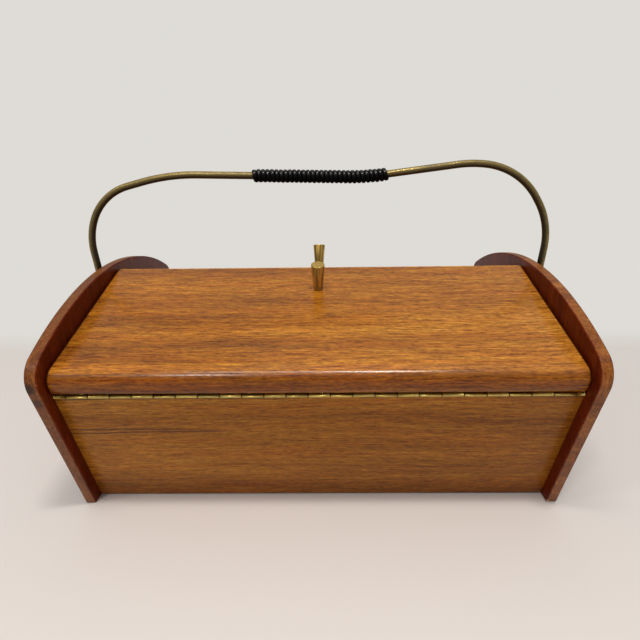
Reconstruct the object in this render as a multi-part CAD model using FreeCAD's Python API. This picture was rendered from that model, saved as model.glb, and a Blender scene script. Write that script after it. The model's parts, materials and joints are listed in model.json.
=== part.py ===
import FreeCAD, Part
import math
import os

# A teak sewing box: two arched end panels, two leaning walls, two lids that meet at a ridge,
# a brass rod handle with a wound grip, and a sliding tray inside.
# Lengths are in millimetres and angles in degrees. X runs along the box, Y towards its back,
# Z up. The origin lies on the floor under the middle of the box.

V = FreeCAD.Vector

# Box
inner_length = 360.0
floor_level = 0.0

# End panels
panel_thickness = 8.5
foot_half_depth = 104.2
waist_half_depth = 151.0
waist_height = 134.4
crown_above_waist = 39.2
waist_rounding = 18.0
panel_edge_rounding = 1.2

# Walls, set in from the edges of the end panels
wall_thickness = 8.5
wall_inset = 10.2
wall_floor_gap = 1.3

# Bottom panel, held in grooves
bottom_thickness = 5.0
bottom_height = 14.0
groove_depth = 4.0
groove_clearance = 0.15

# Dowels between the walls and the end panels
dowel_radius = 2.5
dowel_in_panel = 5.5
dowel_in_wall = 14.0
dowel_clearance = 0.05
dowel_height_shares = (0.28, 0.58, 0.86)

# Piano hinges, whose axes lie on the outer faces of the walls
hinge_below_waist = 24.0
barrel_radius = 1.25
barrel_seat_gap = 0.1
hinge_pin_radius = 0.65
running_clearance = 0.05
leaf_thickness = 0.55
leaf_width = 8.0
knuckle_length = 15.0
first_knuckle_length = 8.5
shortest_knuckle = 4.0
knuckle_gap = 0.2
knuckle_notch_clearance = 0.4
hinge_end_gap = 0.5
hinge_screws_per_leaf = 7
hinge_screw_end_distance = 24.0

# Lids
lid_thickness = 18.9
ridge_below_crown = 5.3
lid_overhang = 3.3
lid_nose_top_rounding = 9.0
lid_nose_bottom_rounding = 7.3
nose_limit_share = 0.48
lid_edge_rounding = 0.8
lid_end_gap = 1.25
ridge_gap = 1.0

# Knobs, square to the lids
knob_from_ridge = 36.5
knob_height = 23.0
knob_base_radius = 3.8
knob_top_radius = 5.5
knob_edge_rounding = 0.5
knob_screw_radius = 2.0
knob_screw_grip = 11.0
knob_hole_spare = 1.0
knob_screw_head_radius = 3.6
knob_screw_head_height = 2.2
knob_screw_clearance = 0.15

# Lid rests, cleats on the end panels
cleat_thickness = 8.0
cleat_width = 9.0
cleat_lid_gap = 0.25
cleat_from_ridge = 8.0
cleat_from_hinge = 24.0
cleat_screw_shares = (0.2, 0.8)

# Handle
pivot_below_crown = 59.2
handle_rise = 142.0
handle_leg_spread = 11.5
rod_radius = 3.0
eye_radius = 6.5
eye_thickness = 3.0
eye_neck_gap = 0.2
eye_neck_length = 13.0
eye_neck_half_width = 4.8
eye_neck_step = 0.1
washer_thickness = 1.0
washer_radius = 6.0
washer_gap = 0.1
# Bends of the rod between its two eyes, seen from the front. The shares are of the handle's
# half-width for the distance right of the middle, and of its rise for the height above the
# pivot and for the radius of the bend.
handle_bend_shares = (
    (-0.9995, 0.595, 0.422),
    (-0.904, 0.890, 0.366),
    (-0.5275, 0.9465, 1.25),
    (0.1975, 0.921, 1.53),
    (0.635, 1.0, 0.74),
    (0.835, 0.951, 0.43),
    (0.993, 0.657, 0.40),
)
bend_room_share = 0.995

# Pivot bolts
bolt_radius = 2.5
bolt_head_radius = 5.5
bolt_head_height = 3.0
bolt_head_rounding_share = 0.8
bolt_end_spare = 1.5
bolt_hole_clearance = 0.1
nut_radius = 4.6
nut_height = 4.0
nut_sides = 6
nut_dome_radius = 4.0

# Grip winding
grip_left = -56.6
grip_right = 61.2
winding_loops = 24
winding_cord_radius = 1.35
winding_rod_gap = 0.1
winding_samples = 4

# Tray runners
runner_below_hinge = 44.7
runner_depth = 12.0
runner_width = 12.4
runner_end_gap = 0.5
runner_screw_count = 4
runner_screw_end_distance = 30.0

# Tray
tray_length = 176.0
tray_height = 32.0
tray_board = 5.0
tray_wall_gap = 1.8
tray_end_gap = 0.8
sliding_gap = 0.25
tray_floor_thickness = 3.0
tray_floor_rise = 3.0
tray_floor_groove = 2.5
tray_divider_thickness = 4.0
tray_divider_drop = 1.8
tray_halving_clearance = 0.1
tray_divider_place_share = 0.34

# Wood screws
hinge_screw = {"head": 2.1, "head_depth": 1.3, "shank": 1.1, "length": 12.0, "point": 2.5}
strip_screw = {"head": 2.6, "head_depth": 1.8, "shank": 1.3, "length": 16.0, "point": 2.8}
cleat_screw = {"head": 2.6, "head_depth": 1.8, "shank": 1.3, "length": 14.0, "point": 2.8}
screw_clearance = 0.05

# One overrun for every cut that must run clear of a face, and one tolerance for finding edges
overrun = 5.0
tolerance = 0.01

# Derived places
half_length = inner_length / 2
panel_outer = half_length + panel_thickness
crown_height = waist_height + crown_above_waist
lean = math.degrees(math.atan2(waist_half_depth - foot_half_depth, waist_height))
hinge_height = waist_height - hinge_below_waist
hinge_half_depth = foot_half_depth + hinge_height * math.tan(math.radians(lean)) - wall_inset
barrel_seat = barrel_radius + barrel_seat_gap
hinge_half_length = half_length - hinge_end_gap
lid_half_length = half_length - lid_end_gap
ridge_rise = crown_height - ridge_below_crown - hinge_height
lid_slope = math.degrees(math.atan2(ridge_rise, hinge_half_depth)
                         - math.asin((barrel_seat + lid_thickness)
                                     / math.hypot(ridge_rise, hinge_half_depth)))
handle_pivot_height = crown_height - pivot_below_crown
handle_half_width = panel_outer + handle_leg_spread
runner_top_height = hinge_height - runner_below_hinge
tray_left = -half_length + tray_end_gap
tray_bottom = runner_top_height + sliding_gap
tray_top = tray_bottom + tray_height


def sin(angle):
    return math.sin(math.radians(angle))


def cos(angle):
    return math.cos(math.radians(angle))


# The front half is drawn and the rear half is its mirror image. A lid's own frame starts at
# the hinge axis: along runs up the slope to the ridge, and off points square out of the lid.
hinge_axis = V(0, -hinge_half_depth, hinge_height)
along = V(0, cos(lid_slope), sin(lid_slope))
off = V(0, -sin(lid_slope), cos(lid_slope))
wall_up = V(0, -sin(lean), cos(lean))
wall_in = V(0, cos(lean), sin(lean))
x_axis = V(1, 0, 0)


def on_lid(distance, height, x=0.0):
    """A point of the front lid's frame."""
    return hinge_axis + along * distance + off * height + x_axis * x


def meet(p, d, q, e):
    """Where the line through p along d meets the line through q along e, in the YZ plane."""
    span = d.y * e.z - d.z * e.y
    gap = q - p
    return p + d * ((gap.y * e.z - gap.z * e.y) / span)


def prism(points, x_low, x_high):
    """A solid with the given YZ outline, from one X to another."""
    ring = [V(x_low, p.y, p.z) for p in points]
    face = Part.Face(Part.makePolygon(ring + ring[:1]))
    return face.extrude(V(x_high - x_low, 0, 0))


def box(low, high):
    size = high - low
    return Part.makeBox(size.x, size.y, size.z, low)


def edges_along_x(shape, near, reach):
    """Edges of shape that run along X and pass within reach of a YZ point."""
    found = []
    for edge in shape.Edges:
        a = edge.Vertexes[0].Point
        b = edge.Vertexes[-1].Point
        level = abs(a.y - b.y) + abs(a.z - b.z) < reach
        if level and math.hypot(a.y - near.y, a.z - near.z) < reach and abs(a.x - b.x) > reach:
            found.append(edge)
    return found


def rear(shape):
    """The same piece on the rear half."""
    return shape.mirror(V(0, 0, 0), V(0, 1, 0))


def other_end(shape):
    """The same piece at the other end of the box."""
    return shape.mirror(V(0, 0, 0), V(1, 0, 0))


def spread(count, half_span):
    """Evenly spaced places from one end of a span to the other."""
    return [half_span * (2 * i / (count - 1) - 1) for i in range(count)]


def screw(kind, head_centre, direction, clearance=0.0):
    """A countersunk wood screw: flat head, shank and point."""
    head = kind["head"] + clearance
    shank = kind["shank"] + clearance
    outline = [
        V(0, 0, -clearance),
        V(head, 0, -clearance),
        V(head, 0, 0),
        V(shank, 0, kind["head_depth"]),
        V(shank, 0, kind["length"] - kind["point"]),
        V(0, 0, kind["length"] + clearance),
    ]
    face = Part.Face(Part.makePolygon(outline + outline[:1]))
    solid = face.revolve(V(0, 0, 0), V(0, 0, 1), 360)
    solid.Placement = FreeCAD.Placement(head_centre, FreeCAD.Rotation(V(0, 0, 1), direction))
    return solid


def group(solids):
    return Part.makeCompound(solids)


def cut_all(shape, tools):
    for tool in tools:
        shape = shape.cut(tool)
    return shape


# Walls
def wall_outline():
    """The front wall's section: it leans out, and its top edge is parallel to the lid."""
    foot = V(0, 0, floor_level + wall_floor_gap)
    level = V(0, 1, 0)
    seat = on_lid(0, -barrel_seat)
    inner_face = hinge_axis + wall_in * wall_thickness
    return [
        meet(hinge_axis, wall_up, foot, level),
        meet(inner_face, wall_up, foot, level),
        meet(inner_face, wall_up, seat, along),
        meet(hinge_axis, wall_up, seat, along),
    ]


def wall_face_half_depth(height, depth_in_wall):
    """Half-depth of a plane inside the wall at a height, measured in from its outer face."""
    start = hinge_axis + wall_in * depth_in_wall
    return -meet(start, wall_up, V(0, 0, height), V(0, 1, 0)).y


def bottom_half_depth():
    height = bottom_height + bottom_thickness / 2
    return wall_face_half_depth(height, wall_thickness) + groove_depth


def bottom_panel(clearance=0.0):
    """The bottom panel, or with a clearance the space that its grooves leave for it."""
    half_x = half_length + groove_depth + clearance - groove_clearance
    half_y = bottom_half_depth() + clearance - groove_clearance
    low = V(-half_x, -half_y, bottom_height - clearance)
    high = V(half_x, half_y, bottom_height + bottom_thickness + clearance)
    return box(low, high)


def dowel_places():
    """Where dowels cross the joint between the front wall and an end panel."""
    low = hinge_axis + wall_in * (wall_thickness / 2)
    reach = (hinge_height - wall_floor_gap) / cos(lean)
    return [low - wall_up * (reach * (1 - share)) for share in dowel_height_shares]


def dowels(clearance=0.0):
    """All dowels at the right-hand end, front and rear."""
    solids = []
    for place in dowel_places():
        start = place + x_axis * (half_length - dowel_in_wall - clearance)
        length = dowel_in_wall + dowel_in_panel + 2 * clearance
        solids.append(Part.makeCylinder(dowel_radius + clearance, length, start, x_axis))
    solids += [rear(s) for s in solids]
    return solids


def all_dowels(clearance=0.0):
    solids = dowels(clearance)
    return solids + [other_end(s) for s in solids]


def hinge_screw_places():
    return spread(hinge_screws_per_leaf, hinge_half_length - hinge_screw_end_distance)


def wall_leaf_screws(clearance=0.0):
    lift = -(barrel_seat - leaf_thickness)
    inset = (leaf_width + barrel_radius) / 2
    return [screw(hinge_screw, on_lid(inset, lift, x), -off, clearance) for x in hinge_screw_places()]


def lid_leaf_screws(clearance=0.0):
    lift = barrel_seat - leaf_thickness
    inset = (leaf_width + barrel_radius) / 2
    return [screw(hinge_screw, on_lid(inset, lift, x), off, clearance) for x in hinge_screw_places()]


def runner_half_depth():
    """Half-depth of the runners' inner faces."""
    return wall_face_half_depth(runner_top_height, wall_thickness) - runner_width


def runner_screws(clearance=0.0):
    height = runner_top_height - runner_depth / 2
    places = spread(runner_screw_count, half_length - runner_screw_end_distance)
    return [screw(strip_screw, V(x, -runner_half_depth(), height), V(0, -1, 0), clearance)
            for x in places]


def front_wall():
    solid = prism(wall_outline(), -half_length, half_length)
    tools = [bottom_panel(groove_clearance)] + all_dowels(dowel_clearance)
    tools += wall_leaf_screws(screw_clearance) + runner_screws(screw_clearance)
    return cut_all(solid, tools)


def front_runner():
    """A strip on the wall's inner face that carries the tray."""
    top = runner_top_height
    foot = top - runner_depth
    inner_face = hinge_axis + wall_in * wall_thickness
    level = V(0, 1, 0)
    outline = [
        meet(inner_face, wall_up, V(0, 0, foot), level),
        V(0, -runner_half_depth(), foot),
        V(0, -runner_half_depth(), top),
        meet(inner_face, wall_up, V(0, 0, top), level),
    ]
    reach = half_length - runner_end_gap
    return cut_all(prism(outline, -reach, reach), runner_screws(screw_clearance))


# End panels
def panel_blank():
    """The right-hand end panel: narrow foot, leaning sides, rounded waist and arched top."""
    foot_left = V(half_length, -foot_half_depth, floor_level)
    foot_right = V(half_length, foot_half_depth, floor_level)
    waist_left = V(half_length, -waist_half_depth, waist_height)
    waist_right = V(half_length, waist_half_depth, waist_height)
    crown = V(half_length, 0, crown_height)
    outline = Part.Wire([
        Part.LineSegment(foot_left, foot_right).toShape(),
        Part.LineSegment(foot_right, waist_right).toShape(),
        Part.Arc(waist_right, crown, waist_left).toShape(),
        Part.LineSegment(waist_left, foot_left).toShape(),
    ])
    solid = Part.Face(outline).extrude(V(panel_thickness, 0, 0))
    waists = edges_along_x(solid, waist_left, tolerance)
    waists += edges_along_x(solid, waist_right, tolerance)
    solid = solid.makeFillet(waist_rounding, waists)
    rims = []
    for edge in solid.Edges:
        ends = [v.Point for v in edge.Vertexes]
        on_face = abs(ends[0].x - ends[-1].x) < tolerance
        on_floor = max(p.z for p in ends) < floor_level + tolerance
        if on_face and not on_floor:
            rims.append(edge)
    return solid.makeFillet(panel_edge_rounding, rims)


def pivot_hole():
    start = V(half_length - overrun, 0, handle_pivot_height)
    return Part.makeCylinder(bolt_radius + bolt_hole_clearance, panel_thickness + 2 * overrun,
                             start, x_axis)


def cleat_screws(clearance=0.0):
    """Screws through the right-hand front cleat into the end panel."""
    span = cleat_span()
    solids = []
    for share in cleat_screw_shares:
        distance = span[0] + (span[1] - span[0]) * share
        middle = barrel_seat - cleat_lid_gap - cleat_thickness / 2
        head = on_lid(distance, middle, half_length - cleat_width)
        solids.append(screw(cleat_screw, head, x_axis, clearance))
    return solids


def right_end_panel():
    tools = [bottom_panel(groove_clearance), pivot_hole()] + dowels(dowel_clearance)
    front = cleat_screws(screw_clearance)
    tools += front + [rear(s) for s in front]
    return cut_all(panel_blank(), tools)


# Lids and their rests
def cleat_span():
    """Where a cleat starts and ends, measured up the slope from the hinge axis."""
    ridge = hinge_half_depth / cos(lid_slope)
    return cleat_from_hinge, ridge - cleat_from_ridge


def front_cleat():
    """The strip under the front lid at the right-hand end panel."""
    low, high = cleat_span()
    top = barrel_seat - cleat_lid_gap
    outline = [
        on_lid(low, top - cleat_thickness),
        on_lid(high, top - cleat_thickness),
        on_lid(high, top),
        on_lid(low, top),
    ]
    solid = prism(outline, half_length - cleat_width, half_length)
    return cut_all(solid, cleat_screws(screw_clearance))


def knob_distance():
    """How far up the slope from the hinge axis the knob stands."""
    ridge = (hinge_half_depth - ridge_gap / 2) / cos(lid_slope)
    return ridge - knob_from_ridge + lid_thickness * math.tan(math.radians(lid_slope))


def knob_screw(clearance=0.0):
    """A round-headed machine screw from under the lid into the knob."""
    base = on_lid(knob_distance(), barrel_seat)
    head = Part.makeCylinder(knob_screw_head_radius, knob_screw_head_height,
                             base - off * knob_screw_head_height, off)
    rim = [e for e in head.Edges if e.Closed
           and (base - e.CenterOfMass).dot(off) > knob_screw_head_height / 2]
    head = head.makeFillet(knob_screw_head_height / 2, rim)
    length = lid_thickness + knob_screw_grip
    shank = Part.makeCylinder(knob_screw_radius + clearance, length + clearance, base, off)
    return shank if clearance else head.fuse(shank).removeSplitter()


def front_knob():
    base = on_lid(knob_distance(), barrel_seat + lid_thickness)
    solid = Part.makeCone(knob_base_radius, knob_top_radius, knob_height, base, off)
    solid = solid.makeFillet(knob_edge_rounding, [e for e in solid.Edges if e.Closed
                             and (e.CenterOfMass - base).dot(off) > knob_height / 2])
    hole = Part.makeCylinder(knob_screw_radius + running_clearance,
                             knob_screw_grip + knob_hole_spare, base, off)
    return solid.cut(hole)


def front_lid():
    """The front lid: a board with a rounded nose over the hinge, cut upright at the ridge."""
    under = barrel_seat
    top = barrel_seat + lid_thickness
    ridge = V(0, -ridge_gap / 2, hinge_height)
    upright = V(0, 0, 1)
    outline = [
        on_lid(-lid_overhang, under),
        meet(on_lid(0, under), along, ridge, upright),
        meet(on_lid(0, top), along, ridge, upright),
        on_lid(-lid_overhang, top),
    ]
    solid = prism(outline, -lid_half_length, lid_half_length)
    limit = lid_thickness * nose_limit_share
    for corner, rounding in ((outline[3], lid_nose_top_rounding),
                             (outline[0], lid_nose_bottom_rounding)):
        solid = solid.makeFillet(min(rounding, limit), edges_along_x(solid, corner, tolerance))
    rims = []
    for edge in solid.Edges:
        ends = [v.Point for v in edge.Vertexes]
        at_end = all(abs(abs(p.x) - lid_half_length) < tolerance for p in ends)
        if at_end and abs(ends[0].x - ends[-1].x) < tolerance:
            rims.append(edge)
    rims += edges_along_x(solid, outline[2], tolerance)
    solid = solid.makeFillet(lid_edge_rounding, rims)
    tools = lid_leaf_screws(screw_clearance) + [knob_screw(knob_screw_clearance)]
    return cut_all(solid, tools)


# Piano hinges
def knuckle_spans():
    """Start and end of each knuckle: the strip was cut from a long one, so its ends are short."""
    low = -hinge_half_length
    high = low + first_knuckle_length
    spans = []
    while high < hinge_half_length - shortest_knuckle:
        spans.append((low, high))
        low = high
        high = low + knuckle_length
    return spans + [(low, hinge_half_length)]


def hinge_leaf(first, upward):
    """One leaf with every other knuckle, starting at knuckle number first."""
    outer = barrel_seat * upward
    inner = (barrel_seat - leaf_thickness) * upward
    notch = barrel_radius + knuckle_notch_clearance
    plate = [on_lid(notch, outer), on_lid(leaf_width, outer), on_lid(leaf_width, inner),
             on_lid(notch, inner)]
    root = [on_lid(0, outer), on_lid(notch, outer), on_lid(notch, inner), on_lid(0, inner)]
    strip = prism(plate, -hinge_half_length, hinge_half_length)
    pieces = []
    for low, high in knuckle_spans()[first::2]:
        start = low + knuckle_gap / 2
        end = high - knuckle_gap / 2
        pieces.append(prism(root, start, end))
        pieces.append(Part.makeCylinder(barrel_radius, end - start, hinge_axis + x_axis * start,
                                        x_axis))
    leaf = strip.multiFuse(pieces).removeSplitter()
    bore_start = hinge_axis - x_axis * (hinge_half_length + overrun)
    bore = Part.makeCylinder(hinge_pin_radius + running_clearance,
                             2 * (hinge_half_length + overrun), bore_start, x_axis)
    return leaf.cut(bore)


def front_hinge_lid_leaf():
    return cut_all(hinge_leaf(0, 1), lid_leaf_screws(screw_clearance))


def front_hinge_wall_leaf():
    return cut_all(hinge_leaf(1, -1), wall_leaf_screws(screw_clearance))


def front_hinge_pin():
    start = hinge_axis - x_axis * hinge_half_length
    return Part.makeCylinder(hinge_pin_radius, 2 * hinge_half_length, start, x_axis)


# Handle
def eye_middle():
    """How far out from the middle of the box the middle plane of an eye lies."""
    return panel_outer + washer_thickness + 2 * washer_gap + eye_thickness / 2


def rod_corners():
    """Both eyes and the corners between them that the bends round off."""
    base = handle_pivot_height
    corners = [V(x * handle_half_width, 0, base + z * handle_rise)
               for x, z, _ in handle_bend_shares]
    return [V(-eye_middle(), 0, base)] + corners + [V(eye_middle(), 0, base)]


def bend_tangents(corners):
    """How far from its corner each bend starts, no more than its two runs leave room for."""
    wanted = [0.0]
    for before, corner, after, bend in zip(corners, corners[1:], corners[2:], handle_bend_shares):
        turn = (corner - before).getAngle(after - corner)
        wanted.append(bend[2] * handle_rise * math.tan(turn / 2))
    wanted.append(0.0)
    room = [(b - a).Length * bend_room_share / (u + v)
            for a, b, u, v in zip(corners, corners[1:], wanted, wanted[1:])]
    return [u * min(1, left, right) for u, left, right in zip(wanted[1:-1], room, room[1:])]


def rod_route():
    """The rod's centre line from eye to eye, as (kind, start, end, centre, radius) pieces."""
    corners = rod_corners()
    pieces = []
    start = corners[0]
    for before, corner, after, tangent in zip(corners, corners[1:], corners[2:],
                                              bend_tangents(corners)):
        arrive = (corner - before).normalize()
        leave = (after - corner).normalize()
        half_turn = arrive.getAngle(leave) / 2
        radius = tangent / math.tan(half_turn)
        into = corner - arrive * tangent
        out = corner + leave * tangent
        inward = (leave - arrive).normalize()
        centre = corner + inward * (radius / math.cos(half_turn))
        pieces.append(("line", start, into, None, None))
        pieces.append(("arc", into, out, centre, radius))
        start = out
    pieces.append(("line", start, corners[-1], None, None))
    return pieces


def arc_middle(start, end, centre, radius):
    return centre + ((start + end) * 0.5 - centre).normalize() * radius


def route_edges(pieces):
    edges = []
    for kind, start, end, centre, radius in pieces:
        if kind == "line":
            edges.append(Part.LineSegment(start, end).toShape())
        else:
            edges.append(Part.Arc(start, arc_middle(start, end, centre, radius), end).toShape())
    return edges


def tube(edges, radius):
    """A round tube along edges that join without a kink."""
    first = edges[0]
    start = first.valueAt(first.FirstParameter)
    heading = first.tangentAt(first.FirstParameter)
    ring = Part.Wire(Part.makeCircle(radius, start, heading))
    return Part.Wire(edges).makePipeShell([ring], True, False)


def rod_eye(side):
    """The flattened end of the rod: a drilled disc, and a neck that goes from flat to round."""
    corners = rod_corners()
    centre, bend = (corners[0], corners[1]) if side < 0 else (corners[-1], corners[-2])
    heading = (bend - centre).normalize()
    half_thick = eye_thickness / 2
    neck_start = eye_radius + eye_neck_gap
    neck_foot = centre + V(0, 0, neck_start)
    neck_top = centre + heading * (neck_start + eye_neck_length)
    flat = Part.Ellipse(neck_foot + V(0, eye_neck_half_width - eye_neck_step, 0),
                        neck_foot + V(half_thick - eye_neck_step, 0, 0), neck_foot)
    flat_end = Part.Wire(flat.toShape())
    round_end = Part.Wire(Part.makeCircle(rod_radius, neck_top, heading))
    neck = Part.makeLoft([flat_end, round_end], True, False)
    tab = box(centre - V(half_thick, eye_neck_half_width, 0),
              neck_foot + V(half_thick, eye_neck_half_width, 0))
    disc = Part.makeCylinder(eye_radius, eye_thickness, centre - x_axis * half_thick, x_axis)
    hole = Part.makeCylinder(bolt_radius + running_clearance, eye_thickness + 2 * overrun,
                             centre - x_axis * (half_thick + overrun), x_axis)
    return [disc, tab, neck], hole, neck_top


def handle_rod():
    left_eye, left_hole, left_top = rod_eye(-1)
    right_eye, right_hole, right_top = rod_eye(1)
    pieces = rod_route()
    pieces[0] = ("line", left_top, pieces[0][2], None, None)
    pieces[-1] = ("line", pieces[-1][1], right_top, None, None)
    rod = tube(route_edges(pieces), rod_radius)
    return cut_all(rod.multiFuse(left_eye + right_eye), [left_hole, right_hole])


def place_on_route(pieces, distance):
    """Point and heading on the rod's centre line at a distance from its start."""
    for kind, start, end, centre, radius in pieces:
        if kind == "line":
            length = (end - start).Length
        else:
            sweep = (start - centre).getAngle(end - centre)
            length = radius * sweep
        if distance <= length:
            break
        distance -= length
    if kind == "line":
        heading = (end - start).normalize()
        return start + heading * distance, heading
    spin = (start - centre).cross(end - centre).normalize()
    turned = FreeCAD.Rotation(spin, math.degrees(distance / radius)).multVec(start - centre)
    return centre + turned, spin.cross(turned).normalize()


def distance_at(pieces, x):
    """Distance along the rod's centre line at which it reaches an X."""
    low, high = 0.0, sum(edge.Length for edge in route_edges(pieces))
    while high - low > tolerance:
        middle = (low + high) / 2
        if place_on_route(pieces, middle)[0].x < x:
            low = middle
        else:
            high = middle
    return low


def winding_places():
    """Points and headings of the cord's centre line, two for each loop round the rod."""
    pieces = rod_route()
    start = distance_at(pieces, grip_left + winding_cord_radius)
    end = distance_at(pieces, grip_right - winding_cord_radius)
    reach = rod_radius + winding_rod_gap + winding_cord_radius
    steps = 2 * winding_loops
    rise = (end - start) / steps
    places = []
    for i in range(steps + 1):
        centre, heading = place_on_route(pieces, start + rise * i)
        upright = V(0, 1, 0).cross(heading)
        turn = math.pi * i
        outward = V(0, 1, 0) * math.sin(turn) + upright * math.cos(turn)
        sideways = V(0, 1, 0) * math.cos(turn) - upright * math.sin(turn)
        forward = sideways * (math.pi * reach) + heading * rise
        places.append((centre + outward * reach, forward.normalize()))
    return places


def biarc(p, u, q, v):
    """Two arcs that leave p along u and reach q along v, as (start, middle, end) points."""
    chord = q - p
    both = u + v
    a = 2 * (1 - u.dot(v))
    b = chord.dot(both)
    reach = (-b + math.sqrt(b * b + a * chord.dot(chord))) / a
    apexes = [p + u * reach, q - v * reach]
    joint = (apexes[0] + apexes[1]) * 0.5
    arcs = []
    for start, apex, end in ((p, apexes[0], joint), (joint, apexes[1], q)):
        half = (end - start).Length / 2
        centre = (start + end) * 0.5
        rise = (apex - centre).Length
        sagitta = half * (reach - half) / rise
        arcs.append((start, centre + (apex - centre).normalize() * sagitta, end))
    return arcs


def least_gap(edges, diameter):
    """The least distance between the surfaces of turns of a tube that aren't in a row."""
    points = []
    walked = 0.0
    for edge in edges:
        for point in edge.discretize(winding_samples + 1)[:-1]:
            points.append((walked, point))
            walked += edge.Length / winding_samples
    half_loop = math.pi * (rod_radius + winding_cord_radius)
    gaps = []
    for i, (at, point) in enumerate(points):
        for other_at, other in points[i + 1:]:
            if half_loop < other_at - at < 4 * half_loop:
                gaps.append((other - point).Length - diameter)
    return min(gaps)


def grip_winding():
    """Black cord wound round the rod as one unbroken tube."""
    places = winding_places()
    diameter = 2 * winding_cord_radius
    edges = []
    first, heading = places[0]
    edges.append(Part.LineSegment(first - heading * diameter, first).toShape())
    for (p, u), (q, v) in zip(places, places[1:]):
        for start, middle, end in biarc(p, u, q, v):
            edges.append(Part.Arc(start, middle, end).toShape())
    last, heading = places[-1]
    edges.append(Part.LineSegment(last, last + heading * diameter).toShape())
    print("winding: least gap between turns", round(least_gap(edges, diameter), 2))
    solid = tube(edges, winding_cord_radius)
    wanted = sum(e.Length for e in edges) * math.pi * winding_cord_radius ** 2
    print("winding: volume against section times length", round(solid.Volume / wanted, 4))
    return solid


# Pivot hardware
def right_pivot_bolt():
    head_face = panel_outer + washer_thickness + 3 * washer_gap + eye_thickness
    nut_face = half_length - washer_thickness
    end = nut_face - nut_height + bolt_end_spare
    start = V(end, 0, handle_pivot_height)
    shank = Part.makeCylinder(bolt_radius, head_face - end, start, x_axis)
    head = Part.makeCylinder(bolt_head_radius, bolt_head_height,
                             V(head_face, 0, handle_pivot_height), x_axis)
    rim = [e for e in head.Edges if e.Closed and e.CenterOfMass.x > head_face + bolt_head_height / 2]
    head = head.makeFillet(bolt_head_height * bolt_head_rounding_share, rim)
    return head.fuse(shank).removeSplitter()


def right_pivot_washers():
    solids = []
    for face in (half_length - washer_thickness, panel_outer + washer_gap):
        start = V(face, 0, handle_pivot_height)
        ring = Part.makeCylinder(washer_radius, washer_thickness, start, x_axis)
        hole = Part.makeCylinder(bolt_radius + bolt_hole_clearance, washer_thickness + 2 * overrun,
                                 start - x_axis * overrun, x_axis)
        solids.append(ring.cut(hole))
    return solids


def right_pivot_nut():
    """A hexagon nut with a domed end, inside the box."""
    face = half_length - washer_thickness
    corners = []
    for i in range(nut_sides):
        angle = 360 * i / nut_sides
        corners.append(V(0, nut_radius * cos(angle), handle_pivot_height + nut_radius * sin(angle)))
    solid = prism(corners, face - nut_height, face)
    bore = Part.makeCylinder(bolt_radius + running_clearance, nut_height + overrun,
                             V(face - nut_height + bolt_end_spare - running_clearance, 0,
                               handle_pivot_height), x_axis)
    dome = Part.makeSphere(nut_dome_radius, V(face - nut_height, 0, handle_pivot_height))
    keep = Part.makeCylinder(nut_dome_radius, nut_dome_radius / 2,
                             V(face - nut_height - nut_dome_radius / 2, 0, handle_pivot_height),
                             x_axis)
    return solid.fuse(dome.common(keep)).removeSplitter().cut(bore)


# Tray
def tray_half_depth():
    return wall_face_half_depth(tray_bottom, wall_thickness) - tray_wall_gap


def tray_floor(clearance=0.0):
    """The tray's floor, or with a clearance the space of its grooves."""
    inset = tray_board - tray_floor_groove + groove_clearance - clearance
    half_y = tray_half_depth() - inset
    low = V(tray_left + inset, -half_y, tray_bottom + tray_floor_rise - clearance)
    high = V(tray_left + tray_length - inset, half_y,
             tray_bottom + tray_floor_rise + tray_floor_thickness + clearance)
    return box(low, high)


def tray_front_side():
    half_y = tray_half_depth()
    solid = box(V(tray_left, -half_y, tray_bottom),
                V(tray_left + tray_length, -half_y + tray_board, tray_top))
    return solid.cut(tray_floor(groove_clearance))


def tray_end(x_low):
    half_y = tray_half_depth() - tray_board
    solid = box(V(x_low, -half_y, tray_bottom), V(x_low + tray_board, half_y, tray_top))
    return solid.cut(tray_floor(groove_clearance))


def tray_left_end():
    return tray_end(tray_left)


def tray_right_end():
    return tray_end(tray_left + tray_length - tray_board)


def divider_levels():
    """Foot, middle and top of the tray's dividers."""
    foot = tray_bottom + tray_floor_rise + tray_floor_thickness + groove_clearance
    top = tray_top - tray_divider_drop
    return foot, (foot + top) / 2, top


def cross_divider_middle():
    return tray_left + tray_length / 2


def front_divider_middle():
    return -tray_half_depth() * tray_divider_place_share


def tray_cross_divider():
    """The divider from front to back, slotted from above for the two others."""
    half_y = tray_half_depth() - tray_board
    foot, halfway, top = divider_levels()
    x = cross_divider_middle()
    thick = tray_divider_thickness / 2
    solid = box(V(x - thick, -half_y, foot), V(x + thick, half_y, top))
    wide = thick + tray_halving_clearance
    for y in (front_divider_middle(), -front_divider_middle()):
        solid = solid.cut(box(V(x - thick - overrun, y - wide, halfway - tray_halving_clearance),
                              V(x + thick + overrun, y + wide, top + overrun)))
    return solid


def tray_front_divider():
    """A divider along the tray, slotted from below."""
    foot, halfway, top = divider_levels()
    y = front_divider_middle()
    thick = tray_divider_thickness / 2
    solid = box(V(tray_left + tray_board, y - thick, foot),
                V(tray_left + tray_length - tray_board, y + thick, top))
    x = cross_divider_middle()
    wide = thick + tray_halving_clearance
    return solid.cut(box(V(x - wide, y - thick - overrun, foot - overrun),
                         V(x + wide, y + thick + overrun, halfway)))


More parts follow.
